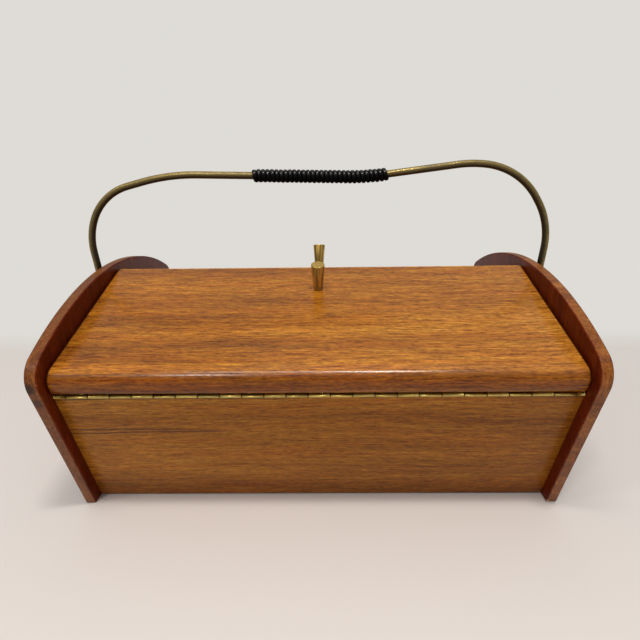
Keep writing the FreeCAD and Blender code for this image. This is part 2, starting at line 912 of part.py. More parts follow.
def pieces():
    """Every piece of the box by name."""
    right_panel = right_end_panel()
    wall = front_wall()
    cleat = front_cleat()
    runner = front_runner()
    lid = front_lid()
    knob = front_knob()
    side = tray_front_side()
    divider = tray_front_divider()
    cleat_set = cleat_screws() + [rear(s) for s in cleat_screws()]
    runner_set = runner_screws() + [rear(s) for s in runner_screws()]
    bolt = right_pivot_bolt()
    washers = right_pivot_washers()
    nut = right_pivot_nut()
    lid_leaf = front_hinge_lid_leaf()
    wall_leaf = front_hinge_wall_leaf()
    return {
        "right_end_panel": right_panel,
        "left_end_panel": other_end(right_panel),
        "front_wall": wall,
        "rear_wall": rear(wall),
        "bottom_panel": bottom_panel(),
        "wall_dowels": group(all_dowels()),
        "front_runner": runner,
        "rear_runner": rear(runner),
        "runner_screws": group(runner_set),
        "front_right_cleat": cleat,
        "front_left_cleat": other_end(cleat),
        "rear_right_cleat": rear(cleat),
        "rear_left_cleat": other_end(rear(cleat)),
        "cleat_screws": group(cleat_set + [other_end(s) for s in cleat_set]),
        "front_lid": lid,
        "rear_lid": rear(lid),
        "front_hinge_wall_leaf": wall_leaf,
        "rear_hinge_wall_leaf": rear(wall_leaf),
        "front_hinge_lid_leaf": lid_leaf,
        "rear_hinge_lid_leaf": rear(lid_leaf),
        "front_hinge_pin": front_hinge_pin(),
        "rear_hinge_pin": rear(front_hinge_pin()),
        "front_hinge_wall_screws": group(wall_leaf_screws()),
        "rear_hinge_wall_screws": group([rear(s) for s in wall_leaf_screws()]),
        "front_hinge_lid_screws": group(lid_leaf_screws()),
        "rear_hinge_lid_screws": group([rear(s) for s in lid_leaf_screws()]),
        "front_knob": knob,
        "rear_knob": rear(knob),
        "front_knob_screw": knob_screw(),
        "rear_knob_screw": rear(knob_screw()),
        "handle_rod": handle_rod(),
        "grip_winding": grip_winding(),
        "right_pivot_bolt": bolt,
        "left_pivot_bolt": other_end(bolt),
        "pivot_washers": group(washers + [other_end(s) for s in washers]),
        "right_pivot_nut": nut,
        "left_pivot_nut": other_end(nut),
        "tray_floor": tray_floor(),
        "tray_front_side": side,
        "tray_rear_side": rear(side),
        "tray_left_end": tray_left_end(),
        "tray_right_end": tray_right_end(),
        "tray_cross_divider": tray_cross_divider(),
        "tray_front_divider": divider,
        "tray_rear_divider": rear(divider),
    }


os.makedirs("parts", exist_ok=True)
for name, shape in pieces().items():
    if not shape.isValid():
        print("not valid:", name)
    shape.exportStep(f"parts/{name}.step")
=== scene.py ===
import json
import math

import bmesh
import bpy
from mathutils import Matrix, Vector, noise


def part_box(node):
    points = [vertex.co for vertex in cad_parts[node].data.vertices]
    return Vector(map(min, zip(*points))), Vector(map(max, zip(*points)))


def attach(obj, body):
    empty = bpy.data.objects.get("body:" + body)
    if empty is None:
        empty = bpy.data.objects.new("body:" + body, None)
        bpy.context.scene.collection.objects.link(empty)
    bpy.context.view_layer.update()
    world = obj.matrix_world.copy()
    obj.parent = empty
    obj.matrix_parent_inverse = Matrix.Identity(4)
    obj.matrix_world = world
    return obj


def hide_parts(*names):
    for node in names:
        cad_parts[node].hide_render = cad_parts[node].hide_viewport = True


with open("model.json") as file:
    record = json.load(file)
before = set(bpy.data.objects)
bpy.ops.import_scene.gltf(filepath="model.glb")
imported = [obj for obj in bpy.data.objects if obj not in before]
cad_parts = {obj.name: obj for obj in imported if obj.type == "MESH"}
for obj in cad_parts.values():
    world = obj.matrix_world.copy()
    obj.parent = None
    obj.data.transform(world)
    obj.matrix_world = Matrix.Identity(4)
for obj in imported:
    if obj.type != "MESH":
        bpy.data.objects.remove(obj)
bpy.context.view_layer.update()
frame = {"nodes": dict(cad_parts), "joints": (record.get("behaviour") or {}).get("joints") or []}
nodes = frame["nodes"]

# The scene is in metres, and sizes below are written in millimetres times mm. Places and lengths
# inside the looks are plain millimetres.
mm = 0.001

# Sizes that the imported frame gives
panel_inner, panel_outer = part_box("right_end_panel")[0].x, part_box("right_end_panel")[1].x
crown_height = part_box("right_end_panel")[1].z
wall_half_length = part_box("front_wall")[1].x
wall_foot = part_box("front_wall")[0].z
lid_half_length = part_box("front_lid")[1].x
hinge_half_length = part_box("front_hinge_pin")[1].x
joint_places = {joint["name"]: Vector(joint["pos_m"]) for joint in frame["joints"] if "pos_m" in joint}
hinge_axis = joint_places["front_lid_hinge"]
handle_axis = joint_places["handle_swing"]

# End panels
foot_half_depth = 104.2 * mm
waist_half_depth = 151 * mm
waist_height = 134.4 * mm
waist_rounding = 18 * mm
panel_edge_rounding = 1.2 * mm

# Walls and lids
wall_thickness = 8.5 * mm
lid_thickness = 18.9 * mm
lid_overhang = 3.3 * mm
ridge_below_crown = 5.3 * mm
ridge_gap = 1 * mm
lid_nose_top_rounding = 9 * mm
lid_nose_bottom_rounding = 7.3 * mm
lid_edge_rounding = 0.8 * mm

# Piano hinges
barrel_radius = 1.25 * mm
barrel_seat = 1.35 * mm
barrel_bore = 0.71 * mm
leaf_thickness = 0.55 * mm
leaf_width = 8 * mm
leaf_notch = 1.65 * mm
knuckle_length = 15 * mm
first_knuckle_length = 8.5 * mm
knuckle_gap = 0.3 * mm
knuckle_rounding = 0.12 * mm
hinge_screws_per_leaf = 7
hinge_screw_end_distance = 24 * mm

# Knobs
knob_from_ridge = 36.5 * mm
knob_height = 23 * mm
knob_base_radius = 3.8 * mm
knob_top_radius = 5.5 * mm

# Handle: a bend's place across and up, and its radius, as shares of the half-width, rise and rise
rod_radius = 3 * mm
handle_rise = 142 * mm
handle_leg_spread = 11.5 * mm
eye_middle = 191.2 * mm
eye_radius = 6.5 * mm
eye_half_thickness = 1.5 * mm
eye_hole_radius = 2.55 * mm
eye_neck_end = 19.7 * mm
eye_neck_half_width = 4.8 * mm
handle_bend_shares = (
    (-0.9992, 0.595, 0.435),
    (-0.917, 0.8425, 0.380),
    (-0.6255, 0.947, 1.23),
    (0.2005, 0.9195, 1.53),
    (0.639, 0.9935, 0.73),
    (0.8455, 0.9615, 0.438),
    (0.9930, 0.636, 0.45),
)
bend_room_share = 0.995

# Grip winding
grip_left = -56.9 * mm
grip_right = 61.5 * mm
winding_turns = 31.6
cord_thickness = 2.4 * mm

lean = math.atan2(waist_half_depth - foot_half_depth, waist_height)
ridge_rise = crown_height - ridge_below_crown - hinge_axis.z
ridge_reach = math.hypot(ridge_rise, hinge_axis.y)
lid_slope = math.atan2(ridge_rise, -hinge_axis.y) - math.asin((barrel_seat + lid_thickness) / ridge_reach)
along = Vector((0, math.cos(lid_slope), math.sin(lid_slope)))
off = Vector((0, -math.sin(lid_slope), math.cos(lid_slope)))
wall_up = Vector((0, -math.sin(lean), math.cos(lean)))
wall_in = Vector((0, math.cos(lean), math.sin(lean)))
x_axis = Vector((1, 0, 0))
y_axis = Vector((0, 1, 0))
z_axis = Vector((0, 0, 1))

# Points that lie closer than this are merged
same_point = 0.001 * mm


def on_lid(distance, height, x=0.0):
    """A point of the front lid's own frame, which starts at the hinge axis."""
    return hinge_axis + along * distance + off * height + x_axis * x


def meet(p, d, q, e):
    """Where the line through p along d meets the line through q along e, in the YZ plane."""
    span = d.y * e.z - d.z * e.y
    gap = q - p
    return p + d * ((gap.y * e.z - gap.z * e.y) / span)


# Meshes
def link(name, data):
    piece = bpy.data.objects.new(name, data)
    bpy.context.scene.collection.objects.link(piece)
    return piece


def loft(name, rings, closed_ends=True):
    """A skin over rings that hold equally many points, with its faces pointing outwards."""
    count = len(rings[0])
    points = [tuple(p) for ring in rings for p in ring]
    faces = [(k + i, k + (i + 1) % count, k + count + (i + 1) % count, k + count + i)
             for k in range(0, len(points) - count, count) for i in range(count)]
    if closed_ends:
        faces.append(tuple(range(count)))
        faces.append(tuple(range(len(points) - 1, len(points) - count - 1, -1)))
    mesh = bpy.data.meshes.new(name)
    mesh.from_pydata(points, [], faces)
    shape = bmesh.new()
    shape.from_mesh(mesh)
    bmesh.ops.remove_doubles(shape, verts=shape.verts, dist=same_point)
    bmesh.ops.recalc_face_normals(shape, faces=shape.faces)
    shape.to_mesh(mesh)
    shape.free()
    return link(name, mesh)


def prism(name, outline, x_low, x_high):
    """A solid with a YZ outline, from one X to another."""
    return loft(name, [[(x, p.y, p.z) for p in outline] for x in (x_low, x_high)])


def lathe(name, profile, base, axis, sides=64):
    """A turned shape: profile holds (radius, height) pairs from axis to axis."""
    side = axis.orthogonal().normalized()
    other = axis.cross(side)
    angles = [2 * math.pi * i / sides for i in range(sides)]
    rings = [[base + axis * height + (side * math.cos(a) + other * math.sin(a)) * radius for a in angles]
             for radius, height in profile]
    return loft(name, rings, closed_ends=False)


def from_shape(name, shape):
    """A piece made of a bmesh, which is freed."""
    mesh = bpy.data.meshes.new(name)
    shape.to_mesh(mesh)
    shape.free()
    return link(name, mesh)


def smooth(piece, sharp_angle=35):
    """Smooth shading that keeps the creases over an angle."""
    mesh = piece.data
    mesh.polygons.foreach_set("use_smooth", [True] * len(mesh.polygons))
    mesh.set_sharp_from_angle(angle=math.radians(sharp_angle))
    return piece


def baked(piece):
    """The piece with its modifiers turned into plain mesh."""
    graph = bpy.context.evaluated_depsgraph_get()
    graph.update()
    mesh = bpy.data.meshes.new_from_object(piece.evaluated_get(graph), preserve_all_data_layers=True,
                                           depsgraph=graph)
    piece.modifiers.clear()
    piece.data = mesh
    return piece


def bevelled(piece, width, segments=3, angle=30):
    """Rounds the sharp edges and shades the flats flat."""
    smooth(piece, 180)
    bevel = piece.modifiers.new("edges", "BEVEL")
    bevel.width = width
    bevel.segments = segments
    bevel.limit_method = "ANGLE"
    bevel.angle_limit = math.radians(angle)
    weighted = piece.modifiers.new("flats", "WEIGHTED_NORMAL")
    weighted.keep_sharp = True
    weighted.weight = 90
    return baked(piece)


def cut_out(piece, cutter):
    """Cuts one shape out of another and does away with it."""
    cut = piece.modifiers.new("cut", "BOOLEAN")
    cut.operation = "DIFFERENCE"
    cut.solver = "EXACT"
    cut.object = cutter
    baked(piece)
    bpy.data.objects.remove(cutter)


def joined(name, pieces):
    """One piece made of several."""
    shape = bmesh.new()
    for piece in pieces:
        shape.from_mesh(piece.data)
        bpy.data.objects.remove(piece)
    return from_shape(name, shape)


def mirrored(piece, name, axis):
    """The same piece on the other side of the middle: axis 0 is left and right, 1 front and rear."""
    flip = Matrix.Identity(4)
    flip[axis][axis] = -1
    mesh = piece.data.copy()
    mesh.transform(flip)
    mesh.flip_normals()
    return link(name, mesh)


def dress(piece, slot, finish):
    """Gives a piece its only material."""
    piece.data.materials.clear()
    piece.data.materials.append(finish)


def place(piece, body, slot, finish, node):
    """Gives a finished piece its material and its body, and hides the node that it stands for."""
    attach(piece, body)
    dress(piece, slot, finish)
    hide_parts(node)


def arc(centre, radius, start, end, steps):
    """Points of an arc in the YZ plane, with angles in radians from +Y towards +Z."""
    return [centre + Vector((0, math.cos(a), math.sin(a))) * radius
            for a in (start + (end - start) * i / steps for i in range(steps + 1))]


def rounded(corners, steps=12):
    """A YZ outline whose corners, given as (point, radius), are rounded off."""
    outline = []
    for i, (corner, radius) in enumerate(corners):
        before = (corners[i - 1][0] - corner).normalized()
        after = (corners[(i + 1) % len(corners)][0] - corner).normalized()
        if not radius:
            outline.append(corner)
            continue
        half = before.angle(after) / 2
        centre = corner + (before + after).normalized() * (radius / math.sin(half))
        start = corner + before * (radius / math.tan(half)) - centre
        end = corner + after * (radius / math.tan(half)) - centre
        a = math.atan2(start.z, start.y)
        turn = (math.atan2(end.z, end.y) - a + math.pi) % (2 * math.pi) - math.pi
        outline += arc(centre, radius, a, a + turn, steps)
    return outline


# Nodes of materials, of the world and of the rows of copies
def feed(tree, socket, value):
    """Links a Field or an output to a socket, or sets the socket's own value."""
    if isinstance(value, Field):
        value = value.socket
    if isinstance(value, bpy.types.NodeSocket):
        tree.links.new(value, socket)
    elif socket.type == "RGBA" and len(value) == 3:
        socket.default_value = (*value, 1)
    else:
        socket.default_value = value


def add_node(tree, kind, settings=None, values=None):
    """Any node: its settings are set first, and then its sockets' values or links."""
    node = tree.nodes.new(kind)
    for key, value in (settings or {}).items():
        setattr(node, key, value)
    for key, value in (values or {}).items():
        feed(tree, node.inputs[key], value)
    return node


class Field:
    """A value in a material: plain sums of Fields add Math nodes."""

    def __init__(self, finish, socket):
        self.finish = finish
        self.socket = socket

    def maths(self, operation, *others, clamp=False):
        return self.finish.maths(operation, self, *others, clamp=clamp)

    def __add__(self, other):
        return self.maths("ADD", other)

    def __sub__(self, other):
        return self.maths("SUBTRACT", other)

    def __rsub__(self, other):
        return self.finish.maths("SUBTRACT", other, self)

    def __mul__(self, other):
        return self.maths("MULTIPLY", other)

    def __truediv__(self, other):
        return self.maths("DIVIDE", other)

    __radd__ = __add__
    __rmul__ = __mul__

    def absolute(self):
        return self.maths("ABSOLUTE")

    def clamped(self):
        return self.maths("ADD", 0, clamp=True)

    def between(self, low, high):
        """0 below low, 1 above high and a smooth step from one to the other."""
        node = self.finish.node("ShaderNodeMapRange", {"interpolation_type": "SMOOTHSTEP"},
                                {"Value": self, "From Min": low, "From Max": high})
        return Field(self.finish, node.outputs["Result"])


class Finish:
    """A material in the making."""

    def __init__(self, name):
        self.material = bpy.data.materials.new(name)
        self.material.use_nodes = True
        self.tree = self.material.node_tree
        self.shader = self.tree.nodes["Principled BSDF"]
        self.object_place = self.node("ShaderNodeTexCoord").outputs["Object"]

    def node(self, kind, settings=None, values=None):
        return add_node(self.tree, kind, settings, values)

    def maths(self, operation, *values, clamp=False):
        node = self.node("ShaderNodeMath", {"operation": operation, "use_clamp": clamp},
                         dict(enumerate(values)))
        return Field(self, node.outputs[0])

    def attribute(self, name):
        """A number kept at each point of the mesh."""
        return Field(self, self.node("ShaderNodeAttribute", {"attribute_name": name}).outputs["Fac"])

    def turned(self, angle, middle=(0, 0, 0)):
        """X, Y and Z of the object's own place, turned about X."""
        mapping = self.node("ShaderNodeMapping", None, {
            "Vector": self.object_place, "Rotation": (angle, 0, 0)})
        parts = self.node("ShaderNodeSeparateXYZ", None, {"Vector": mapping.outputs[0]})
        return [Field(self, parts.outputs[i]) - middle[i] for i in range(3)]

    def in_millimetres(self, angle=0):
        """X, Y and Z of the turned place in millimetres."""
        return [part / mm for part in self.turned(angle)]

    def from_middle(self):
        """How far a place lies to the left or right of the box's middle, in millimetres."""
        return (self.turned(0)[0] / mm).absolute()

    def noise(self, place, size, detail=2.0, roughness=0.5):
        """Noise from 0 to 1, whose blotches have a size along each part of the place."""
        x, y, z = (part / length for part, length in zip(place, size))
        scaled = self.node("ShaderNodeCombineXYZ", None, {"X": x, "Y": y, "Z": z})
        node = self.node("ShaderNodeTexNoise", None, {
            "Vector": scaled.outputs[0], "Scale": 1.0, "Detail": detail, "Roughness": roughness})
        return Field(self, node.outputs["Fac"])

    def ramp(self, value, stops):
        """A colour that goes from stop to stop as the value rises."""
        node = self.node("ShaderNodeValToRGB", None, {"Fac": value})
        elements = node.color_ramp.elements
        while len(elements) < len(stops):
            elements.new(1)
        for element, (position, colour) in zip(elements, stops):
            element.position = position
            element.color = (*colour, 1)
        return node.outputs["Color"]

    def mix(self, factor, a, b, blend="MIX"):
        node = self.node("ShaderNodeMix", {"data_type": "RGBA", "blend_type": blend},
                         {0: factor, 6: a, 7: b})
        return node.outputs[2]

    def bump(self, height, distance, strength):
        node = self.node("ShaderNodeBump", None, {
            "Height": height, "Distance": distance, "Strength": strength})
        return node.outputs["Normal"]

    def set(self, **values):
        """Sets or links the shader's own sockets, named with _ for a blank."""
        for key, value in values.items():
            feed(self.tree, self.shader.inputs[key.replace("_", " ")], value)
        return self.material


# Wood
def grain_field(finish, look):
    """Places along the grain, across the board and through it, in millimetres."""
    place_by_letter = dict(zip("XYZ", finish.in_millimetres(look.get("turn", 0))))
    grain, across, through = (place_by_letter[letter] for letter in look["axes"])
    return grain + look.get("shift", 0), across, through


def teak(name, look):
    """Oiled teak: bands of colour along the grain, fine streaks and short dark pores."""
    finish = Finish(name)
    u, v, w = grain_field(finish, look)
    from_nose = v * look.get("side", 1)
    wander = finish.noise((u, v, w), (150, 70, 70), 1.0) - 0.5
    ripple = finish.noise((u, v, w), (38, 14, 14), 1.0) - 0.5
    v = v + wander * look["wander"] + ripple * look["ripple"]
    from_pith = v - look["pith"][0]
    below = w - look["pith"][1]
    ring = (from_pith * from_pith + below * below).maths("SQRT")
    bands = finish.noise((u, ring, 0), (420, look["band"], 1), 1.0)
    streaks = finish.noise((u, ring, v), (90, 3.4, 40), 2.0, 0.6)
    fibres = sum(finish.noise((u, v, w), (length, width, width), 1.0, 0.6) * share
                 for length, width, share in fibre_sizes)
    dashes = finish.noise((u, v, w), (5, 0.75, 0.75), 2.0, 0.6)
    pores = dashes.between(look["pores"], look["pores"] + 0.10)
    tone = (bands * 0.37 + streaks * 0.33 - 0.35) * look.get("contrast", 1)
    tone = tone + 0.5 + u * look.get("paler_end", 0)
    colour = finish.ramp(tone, look["stops"])
    if "edge_stops" in look:
        inward = (finish.from_middle() - look["edge_middle"]).absolute().between(2.9, 3.9)
        colour = finish.mix(inward, finish.ramp(tone, look["edge_stops"]), colour)
        finish.set(Coat_Weight=0.3 - inward * 0.3, Coat_Roughness=0.3)
    if "painted_sheen_colour" in look:
        # Painted sheen: the lid's colour turns paler and bluer further along the grain, towards the front
        # lid's right-hand end.
        sheen_side = u.between(-40, 150)
        colour = finish.mix(sheen_side, colour, look["painted_sheen_colour"], "MULTIPLY")
    if "foot_shade_colour" in look:
        # Painted shade: the wall is painted darker and bluer towards its foot, near the floor, with a
        # ragged edge along the grain.
        foot = 1 - (v + bands * 60 + fibres * 14).between(look["foot_low"], look["foot_high"])
        colour = finish.mix(foot * look["foot_shade_share"], colour, look["foot_shade_colour"], "MULTIPLY")
    if "flat_end" in look:
        past_nose = from_nose - look["flat_end"]
        # Painted highlight and shade: the nose is painted paler where its rounding starts and darker on
        # its front face.
        colour = finish.mix(1.0, colour, finish.ramp((past_nose + 10) / 30, nose_light_and_shade_stops), "MULTIPLY")
        worn = past_nose.between(-8, -5.5) * (1 - past_nose.between(-1, 4))
        finish.set(Coat_Weight=worn * 0.25, Coat_Roughness=0.22)
    if "dark_end" in look:
        past_end = finish.from_middle() - look["dark_end"]
        # Painted shade: a dark line on the lid just inside each end, in the gap beside the end panel.
        lid_end_shade = past_end.between(-1.6, -0.5) * (1 - past_end.between(-0.3, -0.05))
        colour = finish.mix(lid_end_shade * 0.85, colour, (0.03, 0.010, 0.003))
    colour = finish.mix(look["fibre_share"], colour, finish.ramp(fibres, fibre_stops), "MULTIPLY")
    warmth = finish.noise((u, v, w), (90, 4.5, 4.5), 2.0, 0.6)
    colour = finish.mix(look["warmth_share"], colour, finish.ramp(warmth, warmth_stops), "MULTIPLY")
    colour = finish.mix(pores * look["pore_share"], colour, look["pore_colour"])
    for mark in look.get("marks", ()):
        colour = streak_mark(finish, colour, u, v, mark)
    for knock in look.get("knocks", ()):
        colour = knock_mark(finish, colour, knock)
    height = fibres * 0.5 - pores * 0.8 + streaks * 0.2
    return finish.set(
        Base_Color=colour,
        Roughness=look["roughness"] + fibres * 0.08 + pores * 0.12,
        Normal=finish.bump(height, 0.08 * mm, look["relief"]),
        Specular_IOR_Level=look["specular"])


def streak_mark(finish, colour, u, v, mark):
    """A dark streak along the grain, or a painted shadow line, that fades at both its ends."""
    at = v - mark["across"] - (u - mark["from"]) * mark.get("slant", 0)
    rough = finish.noise((u, v, 0), (9, 0.8, 1)) * 0.6 + 0.6
    near = 1 - (at / mark["half_width"]).absolute().between(0.2, 1)
    reach = (u - mark["from"]).between(-mark["fade"], 0) * (1 - (u - mark["to"]).between(0, mark["fade"]))
    return finish.mix((near * reach * rough * mark["strength"]).clamped(), colour, mark["colour"])


def knock_mark(finish, colour, knock):
    """A small ragged spot: a knock that shows the paler wood, or a dark patch."""
    x, y, z = finish.turned(0, [c * mm for c in knock["at"]])
    away = (x * x + y * y + z * z).maths("SQRT") / mm
    ragged = finish.noise((x, y, z), (0.9 * mm,) * 3)
    inside = 1 - (away + ragged * knock["size"]).between(knock["size"] * 0.9, knock["size"] * 1.2)
    return finish.mix(inside * knock.get("share", 1), colour, knock["colour"])


lid_stops = (
    (0.36, (0.187, 0.057, 0.0066)),
    (0.43, (0.278, 0.088, 0.0077)),
    (0.50, (0.374, 0.126, 0.0099)),
    (0.57, (0.455, 0.170, 0.0154)),
    (0.65, (0.535, 0.221, 0.0286)),
)
wall_stops = (
    (0.36, (0.200, 0.065, 0.0060)),
    (0.44, (0.263, 0.090, 0.0077)),
    (0.52, (0.317, 0.113, 0.0103)),
    (0.62, (0.381, 0.144, 0.0155)),
)
end_stops = (
    (0.36, (0.063, 0.006, 0.0008)),
    (0.44, (0.097, 0.010, 0.0013)),
    (0.52, (0.127, 0.015, 0.0017)),
    (0.62, (0.167, 0.027, 0.0026)),
)
# Painted light on the lid's nose, as multipliers: its rounded front is painted darker as shade, and a band
# at the start of the rounding is painted paler as a highlight.
nose_light_and_shade_stops = (
    (0.13, (0.62, 0.51, 0.27)),
    (0.27, (1.22, 1.26, 1.30)),
    (0.40, (1.22, 1.26, 1.30)),
    (0.75, (1.00, 1.00, 1.00)),
)
warmth_stops = (
    (0.36, (0.98, 0.80, 0.76)),
    (0.50, (1.00, 1.00, 1.00)),
    (0.64, (1.02, 1.15, 1.12)),
)
fibre_stops = (
    (0.36, (0.36, 0.27, 0.20)),
    (0.45, (0.78, 0.72, 0.66)),
    (0.54, (1.10, 1.11, 1.08)),
    (0.64, (1.52, 1.64, 1.62)),
)
end_edge_stops = (
    (0.36, (0.106, 0.026, 0.0063)),
    (0.46, (0.179, 0.050, 0.0095)),
    (0.54, (0.241, 0.076, 0.0137)),
    (0.64, (0.325, 0.116, 0.0252)),
)
# Length, width and share of the fibres, long to short
fibre_sizes = ((24, 1.2, 0.4), (6, 1.1, 0.35), (3, 0.6, 0.25))


def tinted(stops, tint):
    """The same stops with every colour multiplied by a tint."""
    return tuple((at, tuple(c * t for c, t in zip(colour, tint))) for at, colour in stops)


lid_look = {
    "axes": "XYZ", "pith": (210, -160), "band": 12.0, "wander": 12.0, "ripple": 2.0,
    "pores": 0.585, "pore_share": 0.55, "pore_colour": (0.12, 0.032, 0.006), "stops": lid_stops,
    "fibre_share": 1.0, "warmth_share": 0.55, "relief": 0.5, "specular": 0.27, "roughness": 0.16,
    "paler_end": 0.00027, "contrast": 0.82, "painted_sheen_colour": (1.0, 1.04, 1.40),
    "flat_end": on_lid(lid_nose_top_rounding - lid_overhang, 0).dot(along) / mm,
    "dark_end": lid_half_length / mm,
}
wall_look = {
    "axes": "XZY", "pith": (-190, 120), "band": 16.0, "wander": 7.0, "ripple": 1.6,
    "pores": 0.59, "pore_share": 0.55, "pore_colour": (0.09, 0.028, 0.008), "stops": wall_stops,
    "fibre_share": 0.8, "warmth_share": 0.5, "relief": 0.4, "specular": 0.15, "roughness": 0.22,
    "paler_end": -0.0004, "foot_low": 62, "foot_high": 114, "foot_shade_share": 0.6,
    "foot_shade_colour": (0.72, 0.63, 0.95),
}
end_look = {
    "axes": "ZYX", "band": 12.0, "wander": 9.0, "ripple": 2.0,
    "pores": 0.59, "pore_share": 0.6, "pore_colour": (0.03, 0.007, 0.003), "stops": end_stops,
    "edge_middle": (panel_inner + panel_outer) / 2 / mm,
    "fibre_share": 0.8, "warmth_share": 0.6, "relief": 0.5, "specular": 0.10, "roughness": 0.36,
}

left_knocks = (
    {"at": (-186.0, -147.0, 123.0), "size": 7.0, "colour": (0.022, 0.009, 0.006), "share": 0.85},
    {"at": (-185.0, -142.0, 111.0), "size": 7.0, "colour": (0.030, 0.013, 0.009), "share": 0.7},
    {"at": (-180.2, -147.6, 126.6), "size": 1.8, "colour": (0.42, 0.17, 0.05)},
)
right_knocks = ({"at": (181.4, -104.6, 1.4), "size": 2.3, "colour": (0.42, 0.27, 0.16)},)
lid_knocks = ({"at": (-6.4, -34.4, 158.7), "size": 1.9, "colour": (0.10, 0.03, 0.006), "share": 0.6},)


# Plain woods, inside the box
strip_stops = ((0.3, (0.17, 0.075, 0.028)), (0.5, (0.25, 0.115, 0.042)), (0.7, (0.33, 0.165, 0.065)))
pale_stops = ((0.3, (0.50, 0.31, 0.15)), (0.5, (0.60, 0.40, 0.21)), (0.7, (0.68, 0.48, 0.27)))
plywood_stops = ((0.3, (0.50, 0.33, 0.17)), (0.5, (0.58, 0.41, 0.23)), (0.7, (0.66, 0.49, 0.30)))


def plain_wood(name, axes, stops, pore_colour):
    """Unpolished wood with quiet straight grain."""
    finish = Finish(name)
    u, v, w = grain_field(finish, {"axes": axes})
    v = v + (finish.noise((u, v, w), (120, 40, 40), 1.0) - 0.5) * 6
    tone = finish.noise((u, v, w), (90, 3.2, 3.2), 3.0, 0.6)
    threads = finish.noise((u, v, w), (14, 0.55, 0.55), 2.0, 0.6)
    pores = finish.noise((u, v, w), (4, 0.4, 0.4), 1.0).between(0.64, 0.76)
    colour = finish.ramp(tone * 0.7 + threads * 0.3, stops)
    return finish.set(
        Base_Color=finish.mix(pores * 0.5, colour, pore_colour),
        Roughness=0.55 + threads * 0.12,
        Normal=finish.bump(threads * 0.4 - pores * 0.6, 0.05 * mm, 0.5),
        Specular_IOR_Level=0.35)


def plywood():
    """Plywood with the quiet face grain of rotary-cut veneer."""
    finish = Finish("plywood")
    x, y, z = finish.in_millimetres()
    warp = finish.noise((x, y, 0), (160, 30, 1), 1.0) * 26
    rings = finish.noise((x, y + warp, 0), (260, 7, 1))
    threads = finish.noise((x, y, z), (12, 0.7, 0.7), 2.0, 0.6)
    return finish.set(
        Base_Color=finish.ramp(rings * 0.7 + threads * 0.3, plywood_stops),
        Roughness=0.6 + threads * 0.1,
        Normal=finish.bump(threads, 0.04 * mm, 0.4),
        Specular_IOR_Level=0.3)


# Metals and cord
def brass(name, base, dark, look):
    """Brass with brown tarnish in blotches and specks, and where asked, painted shade below a given height
    and on the handle's inner side.
    """
    finish = Finish(name)
    x, y, z = finish.in_millimetres(look.get("turn", 0))
    blotch = finish.noise((x, y, z), look.get("spot", (3, 3, 3)), look.get("detail", 4.0), 0.65)
    specks = finish.noise((x, y, z), (0.7, 0.7, 0.7), 2.0, 0.6)
    tarnish_and_shade = blotch.between(*look.get("tarnish_range", (0.36, 0.68))) * 0.8
    tarnish_and_shade = (tarnish_and_shade + specks.between(0.45, 0.8) * look.get("speck_share", 0.3)).clamped()
    if "steps" in look:
        part = (x - look["first_step"]) / look["steps"]
        chance = finish.node("ShaderNodeTexWhiteNoise", {"noise_dimensions": "1D"},
                             {"W": part.maths("FLOOR")})
        from_middle = (part.maths("FRACT") - 0.5).absolute() * look["steps"]
        joint = from_middle.between(look["steps"] / 2 - 0.65, look["steps"] / 2 - 0.3)
        tarnish_and_shade = (tarnish_and_shade + Field(finish, chance.outputs["Value"]) * look["step_share"] + joint).clamped()
    if "shade_below" in look:
        # Painted shade: the brass is painted darker below a given height, as on the lower half of the
        # hinge barrel, added to the tarnish.
        tarnish_and_shade = (tarnish_and_shade + 1.2 - (z - look["shade_below"]).between(0, 1.1) * 1.2).clamped()
    if "top" in look:
        tarnish_and_shade = tarnish_and_shade * (1 - (z - look["top"]).between(0, 0.3) * 0.7)
    colour = finish.mix(tarnish_and_shade * look.get("tarnish", 0.6), base, dark)
    if "steps" in look:
        colour = finish.mix(joint * 0.7, colour, (0.03, 0.018, 0.006))
    if "inner_shade" in look:
        # Painted shade: the rod is painted darker on the side that faces the handle's opening, below and
        # inside the handle.
        painted_shade = finish.attribute("faces_opening").between(-0.8, 0.5)
        colour = finish.mix(painted_shade * look["inner_shade"], colour, (0.012, 0.006, 0.001))
    return finish.set(
        Base_Color=colour,
        Metallic=look.get("metal", 1.0) - tarnish_and_shade * 0.25,
        Roughness=look["roughness"] + tarnish_and_shade * 0.2,
        Normal=finish.bump(specks - blotch * 0.5, 0.02 * mm, look.get("relief", 0.3)))


def cord_black():
    """Glossy black cord, with a shine where hands rub it."""
    finish = Finish("black_cord")
    scuffs = finish.noise(finish.in_millimetres(), (1.8, 1.8, 1.8), 3.0, 0.6)
    handled = 1 - finish.attribute("faces_opening").between(-0.6, 0.1)
    return finish.set(
        Base_Color=finish.mix(scuffs.between(0.5, 0.75) * 0.5, (0.002, 0.002, 0.0025),
                              (0.006, 0.006, 0.0065)),
        Roughness=0.5,
        Normal=finish.bump(scuffs, 0.05 * mm, 0.1),
        Specular_IOR_Level=0.04,
        Coat_Weight=handled * 0.6,
        Coat_Roughness=0.16)


